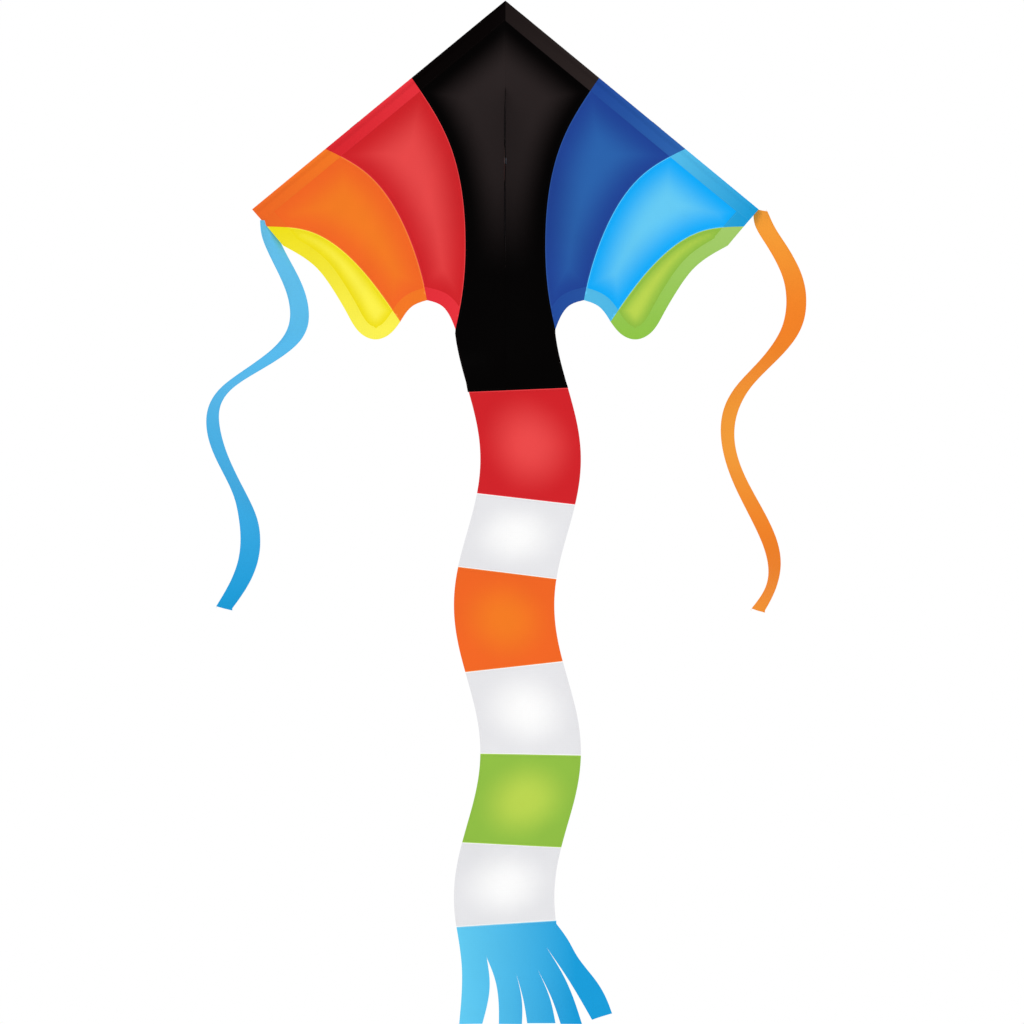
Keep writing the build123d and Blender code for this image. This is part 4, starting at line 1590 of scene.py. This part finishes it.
def build_patch(root, top, bottom):
    """Doubled cloth round the eyelet, with a round nose and a row of stitches."""
    radius, reach, inset, half_thickness = 15.0, 52.0, 3, 0.95
    nose = circle(radius, np.linspace(128, 232, 15))
    upper = (reach, reach * top / root - inset)
    lower = (reach, reach * bottom / root + inset)
    ring = np.vstack([
        straight(upper, nose[0])[:-1], nose, straight(nose[-1], lower)[1:],
        straight(lower, upper)[1:-1],
    ])
    around = np.arange(0, 360, 15)
    plan, faces = triangulate(ring, [], 6, holes=[circle(EYELET_HOLE, around)])
    patch = cloth_mesh(
        "keel_patch_cloth", keel_surface(plan), faces, np.full(len(plan), half_thickness * MM),
        plan=plan, values={"glow": 0 * plan[:, 0], "hem_run": 0 * plan[:, 0] + 1},
        marks=plain_marks(faces, 1.0))
    dress(patch, cloth_material("black"))
    centre = ring.mean(0)
    rows = [centre + (closed_ring(ring) - centre) * 0.9, closed_ring(circle(11, around))]
    threads = stitching("stitching_keel_patch", keel_surface, rows, half_thickness, "black")
    return patch, threads


def build_eyelet():
    """A rolled metal eyelet, turned about its own axis."""
    outline = ((3.2, 0), (3.22, 1.2), (3.4, 1.9), (3.9, 2.4), (4.8, 2.5), (5.9, 2.35), (6.8, 1.95),
               (7.35, 1.5), (7.5, 1.15), (7.3, 1.0), (6.2, 1.02), (EYELET_HOLE, 1.02),
               (EYELET_HOLE, 0))
    profile = list(outline) + [(r, -x) for r, x in reversed(outline[1:-1])]
    count = 56
    points = []
    for i in range(count):
        turn = 2 * math.pi * i / count
        points += [(x * MM, r * math.cos(turn) * MM, r * math.sin(turn) * MM) for r, x in profile]
    size = len(profile)
    faces = []
    for i in range(count):
        for j in range(size):
            a, b = i * size + j, i * size + (j + 1) % size
            c, d = ((i + 1) % count) * size + (j + 1) % size, ((i + 1) % count) * size + j
            faces.append((a, b, c, d))
    mesh = bpy.data.meshes.new("tow_eyelet")
    mesh.from_pydata(points, [], faces)
    mesh.shade_smooth()
    mesh.set_sharp_from_angle(angle=math.radians(50))
    eyelet = add_object("tow_eyelet_rolled", mesh)
    dress(eyelet, fitting_material(
        "eyelet_metal_finish", (0.055, 0.055, 0.06), (0.55, 0.53, 0.5), 0.9, 0.2, 1400.0, 0.00004))
    return eyelet


# ---------------------------------------------------------------- fittings and rods


def finish_fittings():
    """The moulded fittings and the rods keep their shape and get softened edges and finishes."""
    plastic = fitting_material(
        "moulded_fitting_finish", (0.012, 0.012, 0.013), (0.09, 0.09, 0.095), 0.0, 0.0, 1100.0, 0.00008)
    for name, node in frame["nodes"].items():
        if name.startswith(("spreader_hook", "spreader_caps", "leading_spar_caps")):
            soften(node, 0.35 * MM)
            node.material_slots[0].material = plastic
        elif name.endswith("_rod") or name.startswith("leading_spar"):
            node.material_slots[0].material = rod_material()


def soften(node, width):
    """Joins a CAD mesh's loose corners and rounds its sharp edges."""
    weld = node.modifiers.new("Join corners", "WELD")
    weld.merge_threshold = 0.00001
    bevel = node.modifiers.new("Soft edges", "BEVEL")
    bevel.width = width
    bevel.segments = 2
    bevel.limit_method = "ANGLE"
    bevel.angle_limit = math.radians(35)
    bevel.harden_normals = True


# ---------------------------------------------------------------- the stage


ROOM_LIGHT = 0.83                 # the white room as the kite sees it
FLOOR_BELOW = 0.35                # from the lowest point of the kite down to the floor, in metres
FLOOR_HALF = 2.4
CAMERA_AT = (0.0152, -12.89, -0.796)
CAMERA_LENS = 200                 # millimetres, far off so that the kite is seen almost flat
# each lamp: where it stands in metres, its power in watts and its size in metres
LAMPS = {
    "key": ((-2.6, -3.4, 2.2), 46, 2.6),
    "fill": ((3.2, -3.0, -0.4), 16, 3.0),
    "rear": ((1.6, 3.6, 1.6), 40, 2.6),
}


def build_floor():
    """A pale floor below the kite."""
    level = CAD_BOX[0].z - FLOOR_BELOW
    corners = [(x * FLOOR_HALF, SPINE * MM + y * FLOOR_HALF, level)
               for x, y in ((-1, -1), (1, -1), (1, 1), (-1, 1))]
    mesh = bpy.data.meshes.new("floor")
    mesh.from_pydata(corners, [], [(0, 1, 2, 3)])
    floor = add_object("floor", mesh)
    material, _, shader = blank_material("pale_floor")
    shader.inputs["Base Color"].default_value = (0.94, 0.94, 0.94, 1)
    shader.inputs["Roughness"].default_value = 0.8
    shader.inputs["Specular IOR Level"].default_value = 0.1
    dress(floor, material)


def build_room():
    """A white room that looks full white and lights the kite a little less."""
    world = bpy.data.worlds.new("White Room")
    world.use_nodes = True
    back = world.node_tree.nodes["Background"]
    back.inputs["Color"].default_value = (1, 1, 1, 1)
    n = Nodes(world.node_tree)
    seen = n.add("ShaderNodeLightPath").outputs["Is Camera Ray"]
    n.put(back.inputs["Strength"], n.span(seen, 0, 1, ROOM_LIGHT, 1.0))
    bpy.context.scene.world = world


def build_lamps():
    """Large soft lamps that point at the middle of the kite."""
    low, high = CAD_BOX
    middle = (low + high) / 2
    for name, (where, power, size) in LAMPS.items():
        lamp = bpy.data.lights.new(name, "AREA")
        lamp.energy = power
        lamp.size = size
        thing = bpy.data.objects.new(name, lamp)
        thing.location = where
        thing.rotation_euler = (middle - Vector(where)).to_track_quat("-Z", "Y").to_euler()
        bpy.context.scene.collection.objects.link(thing)


def build_camera():
    """A level camera in front of the kite."""
    camera = bpy.data.cameras.new("camera")
    camera.lens = CAMERA_LENS
    camera.sensor_width = 36
    camera.clip_end = 100
    view = bpy.data.objects.new("camera", camera)
    view.location = CAMERA_AT
    view.rotation_euler = (math.radians(90), 0, 0)
    bpy.context.scene.collection.objects.link(view)
    bpy.context.scene.camera = view
    bpy.context.scene.view_settings.view_transform = "Standard"


# ---------------------------------------------------------------- the add-on


def build_wing(wing):
    """The three coloured panels of one wing, and their sleeves."""
    for panel in ("inner", "outer", "corner"):
        sail, threads = build_panel(wing, panel)
        for thing in (sail, threads):
            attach(thing, f"wing_{wing}")
        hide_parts(sail.name.replace("_cloth", ""))
        if panel != "corner":
            build_sleeve(wing, panel)


def build_centre():
    """The black centre: two halves that run on into the tail, and their sleeves."""
    for wing in WINGS:
        sail, threads = build_panel(wing, "black")
        for thing in (sail, threads):
            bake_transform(thing)
        nodes = [f"sail_black_{wing}"] + (["tail_black"] if wing == "left" else [])
        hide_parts(*nodes)
        build_sleeve(wing, "black")


class MakeStage(bpy.types.Operator):
    """Make the floor, the light and the camera"""

    bl_idname = "kite.stage"
    bl_label = "Stage"

    def execute(self, context):
        build_floor()
        build_room()
        build_lamps()
        build_camera()
        return {"FINISHED"}


class MakeCentre(bpy.types.Operator):
    """Make the black centre panel with its sleeves"""

    bl_idname = "kite.centre"
    bl_label = "Centre Panel"

    def execute(self, context):
        build_centre()
        return {"FINISHED"}


class MakeWings(bpy.types.Operator):
    """Make the coloured panels and the leading edge sleeves of both wings"""

    bl_idname = "kite.wings"
    bl_label = "Wings"

    def execute(self, context):
        for wing in WINGS:
            build_wing(wing)
        return {"FINISHED"}


class MakeTail(bpy.types.Operator):
    """Make the bands of the tail and its fringe"""

    bl_idname = "kite.tail"
    bl_label = "Tail"

    def execute(self, context):
        names = list(BANDS)
        parents = ["spine"] + names
        for parent, band, after in zip(parents, names[:-1], names[1:]):
            build_band(band, after, parent)
        build_fringe()
        return {"FINISHED"}


class MakeRibbons(bpy.types.Operator):
    """Make the two ribbons that hang from the wing tips"""

    bl_idname = "kite.ribbons"
    bl_label = "Ribbons"

    def execute(self, context):
        for side in RIBBONS:
            build_ribbon(side)
        return {"FINISHED"}


class MakeSpine(bpy.types.Operator):
    """Make the sleeve and pockets of the spine, the keel and its eyelet"""

    bl_idname = "kite.spine"
    bl_label = "Spine and Keel"

    def execute(self, context):
        build_spine()
        build_keel()
        return {"FINISHED"}


class FinishFittings(bpy.types.Operator):
    """Give the rods and the moulded fittings their finishes"""

    bl_idname = "kite.fittings"
    bl_label = "Rods and Fittings"

    def execute(self, context):
        finish_fittings()
        return {"FINISHED"}


STEPS = (MakeStage, MakeCentre, MakeWings, MakeTail, MakeRibbons, MakeSpine, FinishFittings)


class KitePanel(bpy.types.Panel):
    """Lists the pieces of the kite, its sizes and its colours"""

    bl_idname = "VIEW3D_PT_kite"
    bl_label = "Delta Kite"
    bl_space_type = "VIEW_3D"
    bl_region_type = "UI"
    bl_category = "Kite"

    def draw(self, context):
        layout = self.layout
        for step in STEPS:
            layout.operator(step.bl_idname)
        for group in (context.scene.kite_sizes, context.scene.kite_colours):
            for key in group.__annotations__:
                layout.prop(group, key)


CLASSES = (KiteColours, KiteSizes) + STEPS + (KitePanel,)


def register():
    """Makes the operators, the panel and the settings known to Blender."""
    for cls in CLASSES:
        bpy.utils.register_class(cls)
    bpy.types.Scene.kite_colours = PointerProperty(type=KiteColours)
    bpy.types.Scene.kite_sizes = PointerProperty(type=KiteSizes)


def unregister():
    """Takes them away again."""
    del bpy.types.Scene.kite_sizes
    del bpy.types.Scene.kite_colours
    for cls in reversed(CLASSES):
        bpy.utils.unregister_class(cls)


def main():
    """Makes the whole kite."""
    register()
    for step in STEPS:
        group, name = step.bl_idname.split(".")
        getattr(getattr(bpy.ops, group), name)()


if __name__ == "__main__":
    main()
